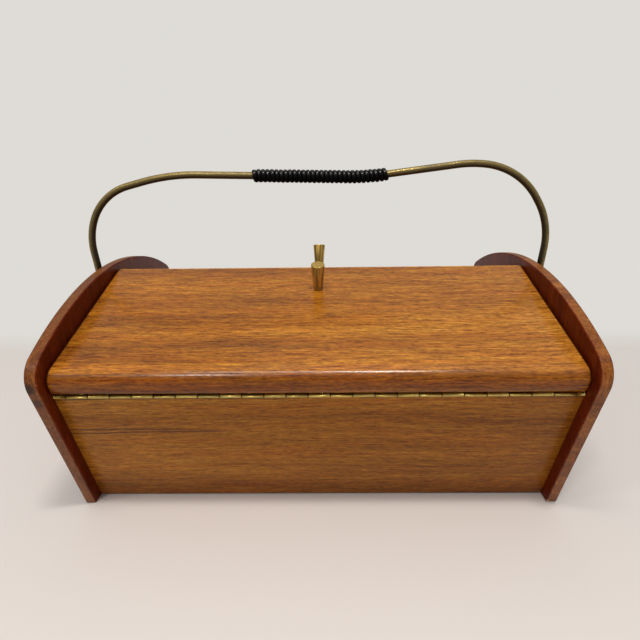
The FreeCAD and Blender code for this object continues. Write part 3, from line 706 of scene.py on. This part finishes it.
# Geometry Nodes: a row of copies, each turned about its own axis by chance
def row_tree():
    tree = bpy.data.node_groups.new("row_of_copies", "GeometryNodeTree")
    face = tree.interface
    face.new_socket("Geometry", in_out="OUTPUT", socket_type="NodeSocketGeometry")
    for name, kind in (("Source", "Object"), ("Copies", "Int"), ("First place", "Vector"),
                       ("Step", "Vector"), ("Tilt", "Vector"), ("Spin", "Float"), ("Finish", "Material")):
        face.new_socket(name, in_out="INPUT", socket_type="NodeSocket" + kind)
    given = add_node(tree, "NodeGroupInput").outputs
    line = add_node(tree, "GeometryNodeMeshLine", {"mode": "OFFSET"}, {
        "Count": given["Copies"], "Start Location": given["First place"], "Offset": given["Step"]})
    source = add_node(tree, "GeometryNodeObjectInfo", None, {"Object": given["Source"]})
    copies = add_node(tree, "GeometryNodeInstanceOnPoints", None, {
        "Points": line.outputs["Mesh"], "Instance": source.outputs["Geometry"], "Rotation": given["Tilt"]})
    least = add_node(tree, "ShaderNodeMath", {"operation": "MULTIPLY"}, {0: given["Spin"], 1: -1})
    chance = add_node(tree, "FunctionNodeRandomValue", None, {"Seed": 7})
    floats = [socket for socket in chance.inputs if socket.type == "VALUE"]
    feed(tree, floats[0], least.outputs[0])
    feed(tree, floats[1], given["Spin"])
    drawn = next(socket for socket in chance.outputs if socket.type == "VALUE")
    spin = add_node(tree, "ShaderNodeCombineXYZ", None, {"Z": drawn})
    turn = add_node(tree, "GeometryNodeRotateInstances", None, {
        "Instances": copies.outputs["Instances"], "Rotation": spin.outputs[0], "Local Space": True})
    plain = add_node(tree, "GeometryNodeRealizeInstances", None, {"Geometry": turn.outputs["Instances"]})
    finish = add_node(tree, "GeometryNodeSetMaterial", None, {
        "Geometry": plain.outputs["Geometry"], "Material": given["Finish"]})
    add_node(tree, "NodeGroupOutput", None, {0: finish.outputs["Geometry"]})
    return tree


def row(name, tree, source, first, step, copies, tilt=(0, 0, 0), spin=0.0, finish=None):
    """A row of copies of source as one plain piece."""
    piece = link(name, bpy.data.meshes.new(name))
    modifier = piece.modifiers.new("row", "NODES")
    modifier.node_group = tree
    values = {"Source": source, "Copies": copies, "First place": tuple(first), "Step": tuple(step),
              "Tilt": tuple(tilt), "Spin": spin, "Finish": finish}
    for item in tree.interface.items_tree:
        if item.in_out == "INPUT" and item.name in values:
            modifier[item.identifier] = values[item.name]
    return baked(piece)


# Camera, light and floor
def make_camera():
    """The photograph's view, found by fitting the outline of the box."""
    viewpoint = Vector((7.3, -434.5, 268.9)) * mm
    yaw, pitch, roll = -0.0155, 0.333, -0.013
    data = bpy.data.cameras.new("camera")
    data.sensor_width = 36
    data.lens = 28.07
    data.clip_start = 10 * mm
    data.clip_end = 100
    camera = link("camera", data)
    turn = Matrix.Rotation(-yaw, 4, "Z") @ Matrix.Rotation(math.pi / 2 - pitch, 4, "X")
    camera.matrix_world = Matrix.Translation(viewpoint) @ turn @ Matrix.Rotation(roll, 4, "Z")
    bpy.context.scene.camera = camera


floor_colour = (0.765, 0.715, 0.695)
wall_colour = (0.735, 0.715, 0.675)


def make_floor():
    """A plain pale floor that turns into the pale background behind the box."""
    half = 6.0
    mesh = bpy.data.meshes.new("floor")
    mesh.from_pydata([(-half, -half, 0), (half, -half, 0), (half, half, 0), (-half, half, 0)], [],
                     [(0, 1, 2, 3)])
    floor = link("floor", mesh)
    finish = Finish("floor")
    x, y = finish.turned(0)[:2]
    far = (x * x + y * y).maths("SQRT").between(0.75, 1.6)
    behind = y.between(0.19, 0.30)
    blank = far + behind - far * behind
    ray = finish.node("ShaderNodeLightPath").outputs
    looked_at = Field(finish, ray["Is Camera Ray"]) + Field(finish, ray["Is Glossy Ray"])
    finish.set(Base_Color=finish.mix(behind, floor_colour, wall_colour), Roughness=0.6,
               Specular_IOR_Level=0.2)
    glow = finish.node("ShaderNodeEmission", None, {"Color": wall_colour, "Strength": 1.0})
    both = finish.node("ShaderNodeMixShader", None, {
        0: (blank * looked_at).clamped(), 1: finish.shader.outputs[0], 2: glow.outputs[0]})
    feed(finish.tree, finish.tree.nodes["Material Output"].inputs["Surface"], both.outputs[0])
    floor.data.materials.append(finish.material)


def make_light():
    """Plain soft light: a pale world that is brightest overhead, and five lamps at a ceiling's height."""
    world = bpy.data.worlds.new("world")
    bpy.context.scene.world = world
    world.use_nodes = True
    tree = world.node_tree
    direction = add_node(tree, "ShaderNodeTexCoord").outputs["Generated"]
    toward = add_node(tree, "ShaderNodeVectorMath", {"operation": "DOT_PRODUCT"},
                      {0: direction, 1: (0, -0.35, 0.94)})
    rise = add_node(tree, "ShaderNodeMapRange", None, {
        "Value": toward.outputs["Value"], "To Min": 0.11, "To Max": 0.58})
    lit = tree.nodes["Background"]
    feed(tree, lit.inputs["Color"], (1, 0.995, 0.985))
    feed(tree, lit.inputs["Strength"], rise.outputs["Result"])
    height = add_node(tree, "ShaderNodeSeparateXYZ", None, {0: direction}).outputs["Z"]
    mirrored_rise = add_node(tree, "ShaderNodeMapRange", None, {"Value": height, "To Min": 0.25})
    ray = add_node(tree, "ShaderNodeLightPath").outputs
    bright = add_node(tree, "ShaderNodeMix", None, {
        0: ray["Is Glossy Ray"], 2: 1.0, 3: mirrored_rise.outputs["Result"]})
    shown = add_node(tree, "ShaderNodeBackground", None, {
        "Color": wall_colour, "Strength": bright.outputs[0]})
    seen = add_node(tree, "ShaderNodeMath", {"operation": "ADD"},
                    {0: ray["Is Camera Ray"], 1: ray["Is Transmission Ray"]})
    direct = add_node(tree, "ShaderNodeMath", {"operation": "ADD", "use_clamp": True},
                      {0: seen.outputs[0], 1: ray["Is Glossy Ray"]})
    either = add_node(tree, "ShaderNodeMixShader", None, {
        0: direct.outputs[0], 1: lit.outputs[0], 2: shown.outputs[0]})
    feed(tree, tree.nodes["World Output"].inputs["Surface"], either.outputs[0])
    lit_spot = Vector((0, 0, 0.05))
    for name, place, size, power in (
            ("right_ceiling", (0.25, -0.68, 1.9), (0.30, 0.12), 9.0),
            ("long_ceiling", (-0.10, -0.63, 1.9), (1.00, 0.14), 9.5),
            ("front", (-0.66, -1.58, 1.9), (0.28, 0.20), 9.0),
            ("far_left", (-1.5, -1.1, 1.7), (0.20, 0.20), 3.5),
            ("behind", (0.1, 0.6, 1.7), (0.90, 0.60), 1.0)):
        data = bpy.data.lights.new(name, "AREA")
        data.shape = "RECTANGLE"
        data.size, data.size_y = size
        data.energy = power
        data.color = (1, 0.970, 0.90)
        lamp = link(name, data)
        lamp.location = place
        lamp.rotation_euler = (lit_spot - Vector(place)).to_track_quat("-Z", "Y").to_euler()


# Boards
def panel_outline():
    """The end panel's outline: narrow foot, leaning sides, rounded waist and arched top."""
    rise = crown_height - waist_height
    arch_radius = (waist_half_depth ** 2 + rise ** 2) / (2 * rise)
    arch_centre = Vector((0, 0, crown_height - arch_radius))
    foot = Vector((0, foot_half_depth, 0))
    side = Vector((0, math.sin(lean), math.cos(lean)))
    inward = Vector((0, -math.cos(lean), math.sin(lean)))
    start = foot + inward * waist_rounding - arch_centre
    ahead = start.dot(side)
    reach = arch_radius - waist_rounding
    way_up = -ahead + math.sqrt(ahead * ahead - start.dot(start) + reach * reach)
    waist_centre = start + side * way_up + arch_centre
    outward = waist_centre - arch_centre
    side_angle = math.atan2(-inward.z, -inward.y)
    arch_angle = math.atan2(outward.z, outward.y)
    half = [foot] + arc(waist_centre, waist_rounding, side_angle, arch_angle, 16)
    half += arc(arch_centre, arch_radius, arch_angle, math.pi / 2, 36)[1:]
    return half + [Vector((0, -p.y, p.z)) for p in reversed(half[:-1])]


def make_panels():
    # The panels' edges are painted by side: lighter on the right as a painted highlight, a little darker
    # on the left as painted shade.
    for side, sign, knocks, painted_edge_light in (("left", -1, left_knocks, (0.92, 0.93, 0.92)),
                                          ("right", 1, right_knocks, (1.20, 1.25, 1.15))):
        name = f"{side}_panel"
        low, high = sorted((sign * panel_inner, sign * panel_outer))
        piece = bevelled(prism(name, panel_outline(), low, high), panel_edge_rounding, 4, 40)
        look = dict(end_look, shift=sign * 130, pith=(240 * sign, 150 + 20 * sign), knocks=knocks,
                    edge_stops=tinted(end_edge_stops, painted_edge_light))
        place(piece, "box", "end_teak", teak(name, look), f"{side}_end_panel")


def wall_outline():
    foot = Vector((0, 0, wall_foot))
    seat = on_lid(0, -barrel_seat)
    inner_face = hinge_axis + wall_in * wall_thickness
    return [
        meet(hinge_axis, wall_up, foot, y_axis),
        meet(inner_face, wall_up, foot, y_axis),
        meet(inner_face, wall_up, seat, along),
        meet(hinge_axis, wall_up, seat, along),
    ]


def make_walls():
    hinge_line = hinge_axis.dot(wall_up) / mm
    half_length = wall_half_length / mm
    # Painted shadow: a dark line across the wall just below the hinge barrel, where the barrel shades it.
    painted_shade = {"across": hinge_line - 1.8, "half_width": 1.1, "from": -half_length, "to": half_length,
             "fade": 1, "strength": 0.8, "colour": (0.05, 0.018, 0.005)}
    streak = {"from": -178, "fade": 45, "strength": 0.85, "colour": (0.085, 0.026, 0.010)}
    streak_below_hinge = 35.4
    streak_middle = hinge_line - streak_below_hinge
    streaks = (
        dict(streak, across=streak_middle + 2.3, half_width=1.6, to=-110, slant=-0.014),
        dict(streak, across=streak_middle - 2.3, half_width=1.3, to=-90, slant=0.014),
    )
    for side, sign, marks in (("front", 1, (painted_shade, *streaks)), ("rear", -1, (painted_shade,))):
        name = f"{side}_wall_board"
        outline = [Vector((0, p.y * sign, p.z)) for p in wall_outline()]
        piece = bevelled(prism(name, outline, -wall_half_length, wall_half_length), 0.35 * mm, 2)
        look = dict(wall_look, turn=-lean * sign, marks=marks)
        place(piece, "box", "wall_teak", teak(name, look), f"{side}_wall")


def lid_outline():
    top = barrel_seat + lid_thickness
    ridge = Vector((0, -ridge_gap / 2, hinge_axis.z))
    return rounded((
        (on_lid(-lid_overhang, barrel_seat), lid_nose_bottom_rounding),
        (meet(on_lid(0, barrel_seat), along, ridge, z_axis), 0),
        (meet(on_lid(0, top), along, ridge, z_axis), lid_edge_rounding),
        (on_lid(-lid_overhang, top), lid_nose_top_rounding),
    ))


def make_lids():
    for side, sign, shift, knocks in (("front", 1, 0, lid_knocks), ("rear", -1, 700, ())):
        name = f"{side}_lid_board"
        outline = [Vector((0, p.y * sign, p.z)) for p in lid_outline()]
        piece = bevelled(prism(name, outline, -lid_half_length, lid_half_length), lid_edge_rounding, 3, 40)
        look = dict(lid_look, turn=-lid_slope * sign, shift=shift, side=sign, knocks=knocks)
        place(piece, f"{side}_lid", "lid_teak", teak(name, look), f"{side}_lid")


# Hinges
def knuckle(name, length):
    """A knuckle about the X axis: the leaf runs in on top and curls round the pin almost to itself."""
    lip, curl, steps = 0.35 * mm, math.radians(302), 26
    angles = [math.pi / 2 + curl * i / steps for i in range(steps + 1)]
    section = [(leaf_notch, barrel_seat), (lip, barrel_seat)]
    section += [(math.cos(a) * barrel_radius, math.sin(a) * barrel_radius) for a in angles]
    section += [(math.cos(a) * barrel_bore, math.sin(a) * barrel_bore) for a in reversed(angles)]
    section.append((leaf_notch, barrel_seat - leaf_thickness))
    outline = [Vector((0, along.y * d + off.y * h, along.z * d + off.z * h)) for d, h in section]
    half = length / 2 - knuckle_gap / 2
    return bevelled(prism(name, outline, -half, half), knuckle_rounding, 1, 50)


def hinge_leaf(name, tree, first):
    """A leaf on the lid's side of the pin: its strip and every other knuckle, from number first on."""
    start = -hinge_half_length
    full = int((2 * hinge_half_length - first_knuckle_length) // knuckle_length)
    last_length = 2 * hinge_half_length - first_knuckle_length - full * knuckle_length
    skipped = 0 if first else 1
    first_full = start + first_knuckle_length + knuckle_length / 2 + skipped * knuckle_length
    long_one = knuckle("long_knuckle", knuckle_length)
    parts = [row("row", tree, long_one, hinge_axis + x_axis * first_full, x_axis * (2 * knuckle_length),
                 (full - skipped + 1) // 2)]
    bpy.data.objects.remove(long_one)
    for number, middle, length in ((0, start + first_knuckle_length / 2, first_knuckle_length),
                                   (full + 1, hinge_half_length - last_length / 2, last_length)):
        if number % 2 == first:
            short_one = knuckle("short_knuckle", length)
            short_one.data.transform(Matrix.Translation(hinge_axis + x_axis * middle))
            parts.append(short_one)
    overlap = 0.05 * mm
    near, under = leaf_notch - overlap, barrel_seat - leaf_thickness
    strip = [on_lid(near, barrel_seat), on_lid(leaf_width, barrel_seat), on_lid(leaf_width, under),
             on_lid(near, under)]
    plate = bevelled(prism("strip", strip, start, hinge_half_length), 0.1 * mm, 1)
    return joined(name, parts + [plate])


def turned_over(piece):
    """Turns a leaf of the front hinge from the lid's side to the wall's side of the pin."""
    for vertex in piece.data.vertices:
        away = vertex.co - hinge_axis
        vertex.co = vertex.co - off * (2 * away.dot(off))
    piece.data.flip_normals()


def slotted_screw(name, head, head_depth, shank, length, dome=0.0):
    """A screw that points down from the origin, with a slot in its head."""
    tip = length * 0.8
    profile = [(0, dome)]
    if dome:
        profile += [(head * math.sin(a), dome * math.cos(a)) for a in (0.4, 0.8, 1.2, math.pi / 2)]
    else:
        profile.append((head, 0))
    profile += [(head, -0.12 * mm), (shank, -head_depth)]
    pitch = 0.9 * mm
    turns = int((tip - head_depth) / pitch)
    for i in range(turns):
        level = head_depth + (tip - head_depth) * (i + 0.5) / turns
        profile += [(shank, -level), (shank * 1.25, -level - 0.25 * mm), (shank, -level - 0.5 * mm)]
    profile += [(shank, -tip), (0, -length)]
    piece = lathe(name, profile, Vector(), z_axis, 20)
    shape = bmesh.new()
    bmesh.ops.create_cube(shape, size=1)
    bmesh.ops.scale(shape, vec=(head * 2.4, head * 0.26, head * 0.5), verts=shape.verts)
    bmesh.ops.translate(shape, vec=(0, 0, dome), verts=shape.verts)
    cut_out(piece, from_shape("slot", shape))
    return smooth(piece, 30)


def tilt_to(direction):
    """Euler angles that turn +Z to a direction."""
    return direction.to_track_quat("Z", "Y").to_euler()


def make_hinges(tree, hinge_finish, screw_finish):
    screw = slotted_screw("hinge_screw", head=2.1 * mm, head_depth=1.3 * mm, shank=1 * mm, length=12 * mm)
    first_screw = hinge_screw_end_distance - hinge_half_length
    step = x_axis * (-2 * first_screw / (hinge_screws_per_leaf - 1))
    inset = (leaf_width + barrel_radius) / 2
    lift = barrel_seat - leaf_thickness
    for part, first, upward in (("lid", 0, 1), ("wall", 1, -1)):
        leaf = hinge_leaf(f"front_{part}_leaf", tree, first)
        if part == "wall":
            turned_over(leaf)
        smooth(leaf, 40)
        screws = row(f"front_{part}_leaf_screws", tree, screw, on_lid(inset, lift * upward, first_screw),
                     step, hinge_screws_per_leaf, tilt_to(-off * upward), math.pi, screw_finish)
        for side in ("front", "rear"):
            body = "box" if part == "wall" else f"{side}_lid"
            if side == "rear":
                leaf = mirrored(leaf, f"rear_{part}_leaf", 1)
                screws = mirrored(screws, f"rear_{part}_leaf_screws", 1)
            place(leaf, body, "hinge_brass", hinge_finish, f"{side}_hinge_{part}_leaf")
            place(screws, body, "screw_brass", screw_finish, f"{side}_hinge_{part}_screws")
    bpy.data.objects.remove(screw)
    for side in ("front", "rear"):
        dress(nodes[f"{side}_hinge_pin"], "hinge_brass", hinge_finish)


# Knobs
def make_knobs(knob_look, screw_finish):
    ridge = (-hinge_axis.y - ridge_gap / 2) / math.cos(lid_slope)
    distance = ridge - knob_from_ridge + lid_thickness * math.tan(lid_slope)
    base = on_lid(distance, barrel_seat + lid_thickness)
    rim, soft_edge = 0.5 * mm, 0.2 * mm
    profile = [(0, 0), (knob_base_radius - soft_edge, 0), (knob_base_radius, soft_edge)]
    profile += [(knob_top_radius - rim + rim * math.sin(a), knob_height - rim + rim * math.cos(a))
                for a in (math.pi / 2, math.pi / 3, math.pi / 6, 0)]
    profile += [(knob_top_radius * share, knob_height - hollow * mm)
                for share, hollow in ((0.82, 0.05), (0.5, 0.16), (0, 0.2))]
    knob = smooth(lathe("front_turned_knob", profile, base, off, 72), 40)
    screw = slotted_screw("front_knob_bolt", head=3.6 * mm, head_depth=0.4 * mm, shank=2 * mm,
                          length=30 * mm, dome=2 * mm)
    turn = tilt_to(-off).to_matrix().to_4x4()
    screw.data.transform(Matrix.Translation(on_lid(distance, barrel_seat)) @ turn)
    top = (base.dot(off) + knob_height) / mm - 0.8
    for side, sign in (("front", 1), ("rear", -1)):
        if side == "rear":
            knob = mirrored(knob, "rear_turned_knob", 1)
            screw = mirrored(screw, "rear_knob_bolt", 1)
        finish = brass(f"{side}_knob_brass", (0.69, 0.46, 0.11), (0.085, 0.042, 0.006),
                       dict(knob_look, turn=-lid_slope * sign, top=top))
        place(knob, f"{side}_lid", "knob_brass", finish, f"{side}_knob")
        place(screw, f"{side}_lid", "screw_brass", screw_finish, f"{side}_knob_screw")


# Handle
def rod_path(step=1.2 * mm):
    """Points and headings along the rod from eye to eye."""
    half_width = panel_outer + handle_leg_spread
    flat_corners = [(x * half_width, z * handle_rise) for x, z, radius in handle_bend_shares]
    corners = [Vector((x, 0, handle_axis.z + z))
               for x, z in ((-eye_middle, 0), *flat_corners, (eye_middle, 0))]
    bends = [(corner - before).angle(after - corner)
             for before, corner, after in zip(corners, corners[1:], corners[2:])]
    wanted = [radius * handle_rise * math.tan(bend / 2)
              for bend, (x, z, radius) in zip(bends, handle_bend_shares)]
    wanted = [0.0, *wanted, 0.0]
    room = [(b - a).length * bend_room_share / (s + t)
            for a, b, s, t in zip(corners, corners[1:], wanted, wanted[1:])]
    tangents = [t * min(1, left, right) for t, left, right in zip(wanted[1:-1], room, room[1:])]
    path = []
    start = corners[0]
    for before, corner, after, tangent in zip(corners, corners[1:], corners[2:], tangents):
        arrive = (corner - before).normalized()
        leave = (after - corner).normalized()
        into = corner - arrive * tangent
        path += straight(start, into, step)
        turn = arrive.angle(leave)
        radius = tangent / math.tan(turn / 2)
        count = max(int(radius * turn / step), 2)
        spin = arrive.cross(leave).normalized()
        centre = into + spin.cross(arrive) * radius
        for i in range(count):
            part = Matrix.Rotation(turn * i / count, 3, spin)
            path.append((centre + part @ (into - centre), part @ arrive))
        start = corner + leave * tangent
    path += straight(start, corners[-1], step)
    path.append((corners[-1], (corners[-1] - start).normalized()))
    return path


def straight(start, end, step):
    """Points and headings along a straight part, without its end."""
    heading = (end - start).normalized()
    count = max(int((end - start).length / step), 1)
    return [(start + (end - start) * (i / count), heading) for i in range(count)]


def rod_section(from_eye):
    """Half-thickness, half-width and squareness of the rod at a distance from its eye's middle."""
    flat = 1 - min(max((from_eye - eye_radius) / (eye_neck_end - eye_radius), 0), 1)
    flat = flat * flat * (3 - 2 * flat)
    thick = rod_radius + (eye_half_thickness - rod_radius) * flat
    wide = rod_radius + (eye_neck_half_width - rod_radius) * flat
    if from_eye < eye_radius:
        wide = max(wide * (from_eye > eye_radius * 0.6), math.sqrt(eye_radius ** 2 - from_eye ** 2))
    return thick, wide, 2 + 2 * flat


def section_ring(point, heading, thick, wide, squareness):
    """The rod's outline at a point of its path: an ellipse, or squarer the greater its squareness."""
    outward = y_axis.cross(heading).normalized()
    sides = 36
    ring = []
    for i in range(sides):
        angle = 2 * math.pi * i / sides
        c, s = math.cos(angle), math.sin(angle)
        reach = (abs(c) ** squareness + abs(s) ** squareness) ** (-1 / squareness)
        ring.append(point + y_axis * (wide * c * reach) + outward * (thick * s * reach))
    return ring


def mark_inner_side(piece):
    """Keeps at each point how far it faces the handle's opening, where the rod is painted darker as shade
    and the cord is left dull.
    """
    core_half_length, core_height = 120 * mm, 180 * mm
    kept = piece.data.attributes.new("faces_opening", "FLOAT", "POINT")
    for vertex, value in zip(piece.data.vertices, kept.data):
        core_x = max(min(vertex.co.x, core_half_length), -core_half_length)
        to_core = Vector((core_x, 0, core_height)) - vertex.co
        value.value = vertex.normal.dot(to_core.normalized())


def rod_section_below(depth):
    """The eye's lower half, which is part of a disc."""
    return eye_half_thickness, math.sqrt(eye_radius ** 2 - depth ** 2), 4


def make_rod(finish):
    """The handle's rod, flattened at both ends into drilled eyes."""
    path = rod_path()
    left, right = path[0][0], path[-1][0]
    below = [eye_radius * math.sin(math.radians(a)) for a in (89, 80, 70, 58, 46, 34, 22, 11)]
    rings = [section_ring(left - path[0][1] * depth, path[0][1], *rod_section_below(depth))
             for depth in below]
    for point, heading in path:
        from_eye = min((point - left).length, (point - right).length)
        rings.append(section_ring(point, heading, *rod_section(from_eye)))
    rings += [section_ring(right + path[-1][1] * depth, path[-1][1], *rod_section_below(depth))
              for depth in reversed(below)]
    rod = loft("bent_rod", rings)
    reach = 6 * mm
    hole = [(0, -reach), (eye_hole_radius, -reach), (eye_hole_radius, reach), (0, reach)]
    for end in (left, right):
        cut_out(rod, lathe("drill", hole, end, x_axis, 32))
    smooth(rod, 38)
    mark_inner_side(rod)
    place(rod, "handle", "rod_brass", finish, "handle_rod")


def make_winding(finish):
    """Flat-backed cord, wound turn against turn round the middle of the rod."""
    path = [(p, h) for p, h in rod_path(0.2 * mm) if grip_left < p.x < grip_right]
    steps_per_turn = 36
    width = (grip_right - grip_left) / winding_turns
    base = rod_radius + 0.03 * mm
    first_turn, bare_turns = 0.8, 1.5
    back_power, rise_power = 0.85, 0.72
    count = int(winding_turns - bare_turns) * steps_per_turn
    rings = []
    for i in range(count + 1):
        turns = i / steps_per_turn
        share = (turns + first_turn) / winding_turns
        point, heading = path[min(int(share * (len(path) - 1)), len(path) - 1)]
        heading = heading.normalized()
        upright = y_axis.cross(heading)
        uneven = noise.noise(Vector((turns * 0.9, 3.7, 0)))
        slack = noise.noise(Vector((turns * 2.3, 9.1, 4.0)))
        angle = 2 * math.pi * (turns + 0.25)
        outward = upright * math.cos(angle) + y_axis * math.sin(angle)
        ease = min(min(i, count - i) / (steps_per_turn * 0.35), 1)
        thick = cord_thickness * (1 + 0.10 * slack)
        thick *= 0.35 + 0.65 * ease
        half = width * 0.5 * (1.04 + 0.05 * uneven)
        centre = point + heading * (uneven * 0.12 * mm)
        ring = []
        for k in range(14):
            a = math.pi * k / 13
            side = math.copysign(abs(math.cos(a)) ** back_power, math.cos(a))
            rise = base + thick * max(math.sin(a), 0) ** rise_power
            ring.append(centre + heading * (side * half) + outward * rise)
        rings.append(ring)
    cord = loft("wound_grip", rings)
    smooth(cord, 60)
    mark_inner_side(cord)
    place(cord, "handle", "black_cord", finish, "grip_winding")


# Pivots
def make_pivots(finish):
    radius, head_radius, height = 2.5 * mm, 5.5 * mm, 3 * mm
    shank_start, head_high = (corner.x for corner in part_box("right_pivot_bolt"))
    head_low = head_high - height
    dome = [(head_radius * math.sin(a), height * (0.2 + 0.8 * math.cos(a)))
            for a in (math.pi / 2, 1.3, 1.05, 0.8, 0.55, 0.3, 0.0)]
    shank = [(0, shank_start - head_low), (radius, shank_start - head_low), (radius, 0), (head_radius, 0)]
    bolt = smooth(lathe("right_pivot_screw", shank + dome, Vector((head_low, 0, handle_axis.z)), x_axis,
                        56), 40)
    washer_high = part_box("pivot_washers")[1].x
    nut_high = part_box("right_pivot_nut")[1].x
    thick, bore, outer, soft_edge = 1 * mm, 2.6 * mm, 6 * mm, 0.1 * mm
    ring = [(bore, 0), (outer - soft_edge, 0), (outer, soft_edge), (outer, thick - soft_edge),
            (outer - soft_edge, thick), (bore, thick), (bore, 0)]
    rings = [lathe("washer", ring, Vector((low, 0, handle_axis.z)), x_axis, 48)
             for low in (washer_high - thick, nut_high)]
    washers = smooth(joined("right_washers", rings), 40)
    nut = make_nut(nut_high)
    for side in ("right", "left"):
        if side == "left":
            bolt = mirrored(bolt, "left_pivot_screw", 0)
            washers = mirrored(washers, "left_washers", 0)
            nut = mirrored(nut, "left_domed_nut", 0)
        place(bolt, "box", "rod_brass", finish, f"{side}_pivot_bolt")
        place(washers, "box", "rod_brass", finish, "pivot_washers")
        place(nut, "box", "rod_brass", finish, f"{side}_pivot_nut")


def make_nut(face):
    """A hexagon nut with chamfered corners and a domed end, on the right-hand panel's inside."""
    flat_radius, height, dome = 4.6 * mm, 4 * mm, 3.9 * mm
    hexagon = arc(Vector((0, 0, handle_axis.z)), flat_radius, 0, 2 * math.pi, 6)[:-1]
    body = bevelled(prism("nut", hexagon, face - height, face), 0.35 * mm, 2)
    profile = [(0, 0), (dome, 0)]
    profile += [(dome * math.cos(a), -0.5 * dome * math.sin(a))
                for a in (0.2, 0.45, 0.7, 0.95, 1.2, math.pi / 2)]
    cap = lathe("cap", profile, Vector((face - height, 0, handle_axis.z)), x_axis, 40)
    return smooth(joined("right_domed_nut", [body, cap]), 35)


# The rest of the inside
def softened(name, node, width, body, slot, finish):
    """A kept node's board with its sharp edges taken off."""
    shape = bmesh.new()
    shape.from_mesh(nodes[node].data)
    bmesh.ops.remove_doubles(shape, verts=shape.verts, dist=2 * same_point)
    bmesh.ops.dissolve_limit(shape, angle_limit=math.radians(1), verts=shape.verts, edges=shape.edges)
    place(bevelled(from_shape(name, shape), width, 2), body, slot, finish, node)


def make_inside(screw_finish):
    strip_pores, pale_pores = (0.09, 0.035, 0.015), (0.33, 0.18, 0.08)
    strip = plain_wood("strip_wood", "XYZ", strip_stops, strip_pores)
    cross_strip = plain_wood("cross_strip_wood", "YXZ", strip_stops, strip_pores)
    long_board = plain_wood("tray_long_wood", "XZY", pale_stops, pale_pores)
    cross_board = plain_wood("tray_cross_wood", "YZX", pale_stops, pale_pores)
    dowel = plain_wood("dowel_wood", "XYZ", pale_stops, (0.40, 0.25, 0.13))
    board_edge, divider_edge = 0.5 * mm, 0.4 * mm
    for side in ("front", "rear"):
        softened(f"{side}_tray_rail", f"{side}_runner", board_edge, "box", "strip_wood", strip)
        softened(f"{side}_tray_board", f"tray_{side}_side", board_edge, "tray", "tray_wood", long_board)
        softened(f"{side}_tray_partition", f"tray_{side}_divider", divider_edge, "tray", "tray_wood",
                 long_board)
        for end in ("left", "right"):
            softened(f"{side}_{end}_lid_rest", f"{side}_{end}_cleat", board_edge, "box", "strip_wood",
                     cross_strip)
    for end in ("left", "right"):
        softened(f"{end}_tray_board", f"tray_{end}_end", board_edge, "tray", "tray_wood", cross_board)
    softened("cross_tray_partition", "tray_cross_divider", divider_edge, "tray", "tray_wood", cross_board)
    ply = plywood()
    for node, slot, finish in (("bottom_panel", "plywood", ply), ("tray_floor", "plywood", ply),
                               ("wall_dowels", "dowel_beech", dowel),
                               ("runner_screws", "screw_brass", screw_finish),
                               ("cleat_screws", "screw_brass", screw_finish)):
        dress(nodes[node], slot, finish)


make_camera()
make_light()
make_floor()
rows = row_tree()
hinge_brass = brass("hinge_brass", (0.88, 0.70, 0.20), (0.20, 0.13, 0.035), {
    "spot": (8, 2, 2), "roughness": 0.22, "steps": knuckle_length / mm, "step_share": 0.45,
    "shade_below": (hinge_axis.z - barrel_radius) / mm, "tarnish": 0.64, "relief": 0.08,
    "first_step": (first_knuckle_length - hinge_half_length) / mm})
screw_brass = brass("screw_brass", (0.58, 0.44, 0.18), (0.25, 0.17, 0.07), {"roughness": 0.35})
rod_brass = brass("rod_brass", (0.30, 0.220, 0.070), (0.115, 0.078, 0.020), {
    "spot": (27, 9, 9), "tarnish": 0.85, "metal": 0.6, "roughness": 0.32, "relief": 0.12,
    "inner_shade": 0.93})
knob_look = {
    "spot": (2.2, 2.2, 60), "detail": 1.0, "tarnish_range": (0.38, 0.58), "tarnish": 0.9,
    "speck_share": 0.1, "metal": 0.85, "roughness": 0.26, "relief": 0.06}
make_panels()
make_walls()
make_lids()
make_hinges(rows, hinge_brass, screw_brass)
make_knobs(knob_look, screw_brass)
make_rod(rod_brass)
make_winding(cord_black())
make_pivots(rod_brass)
make_inside(screw_brass)

scene = bpy.context.scene
scene.view_settings.view_transform = "Standard"
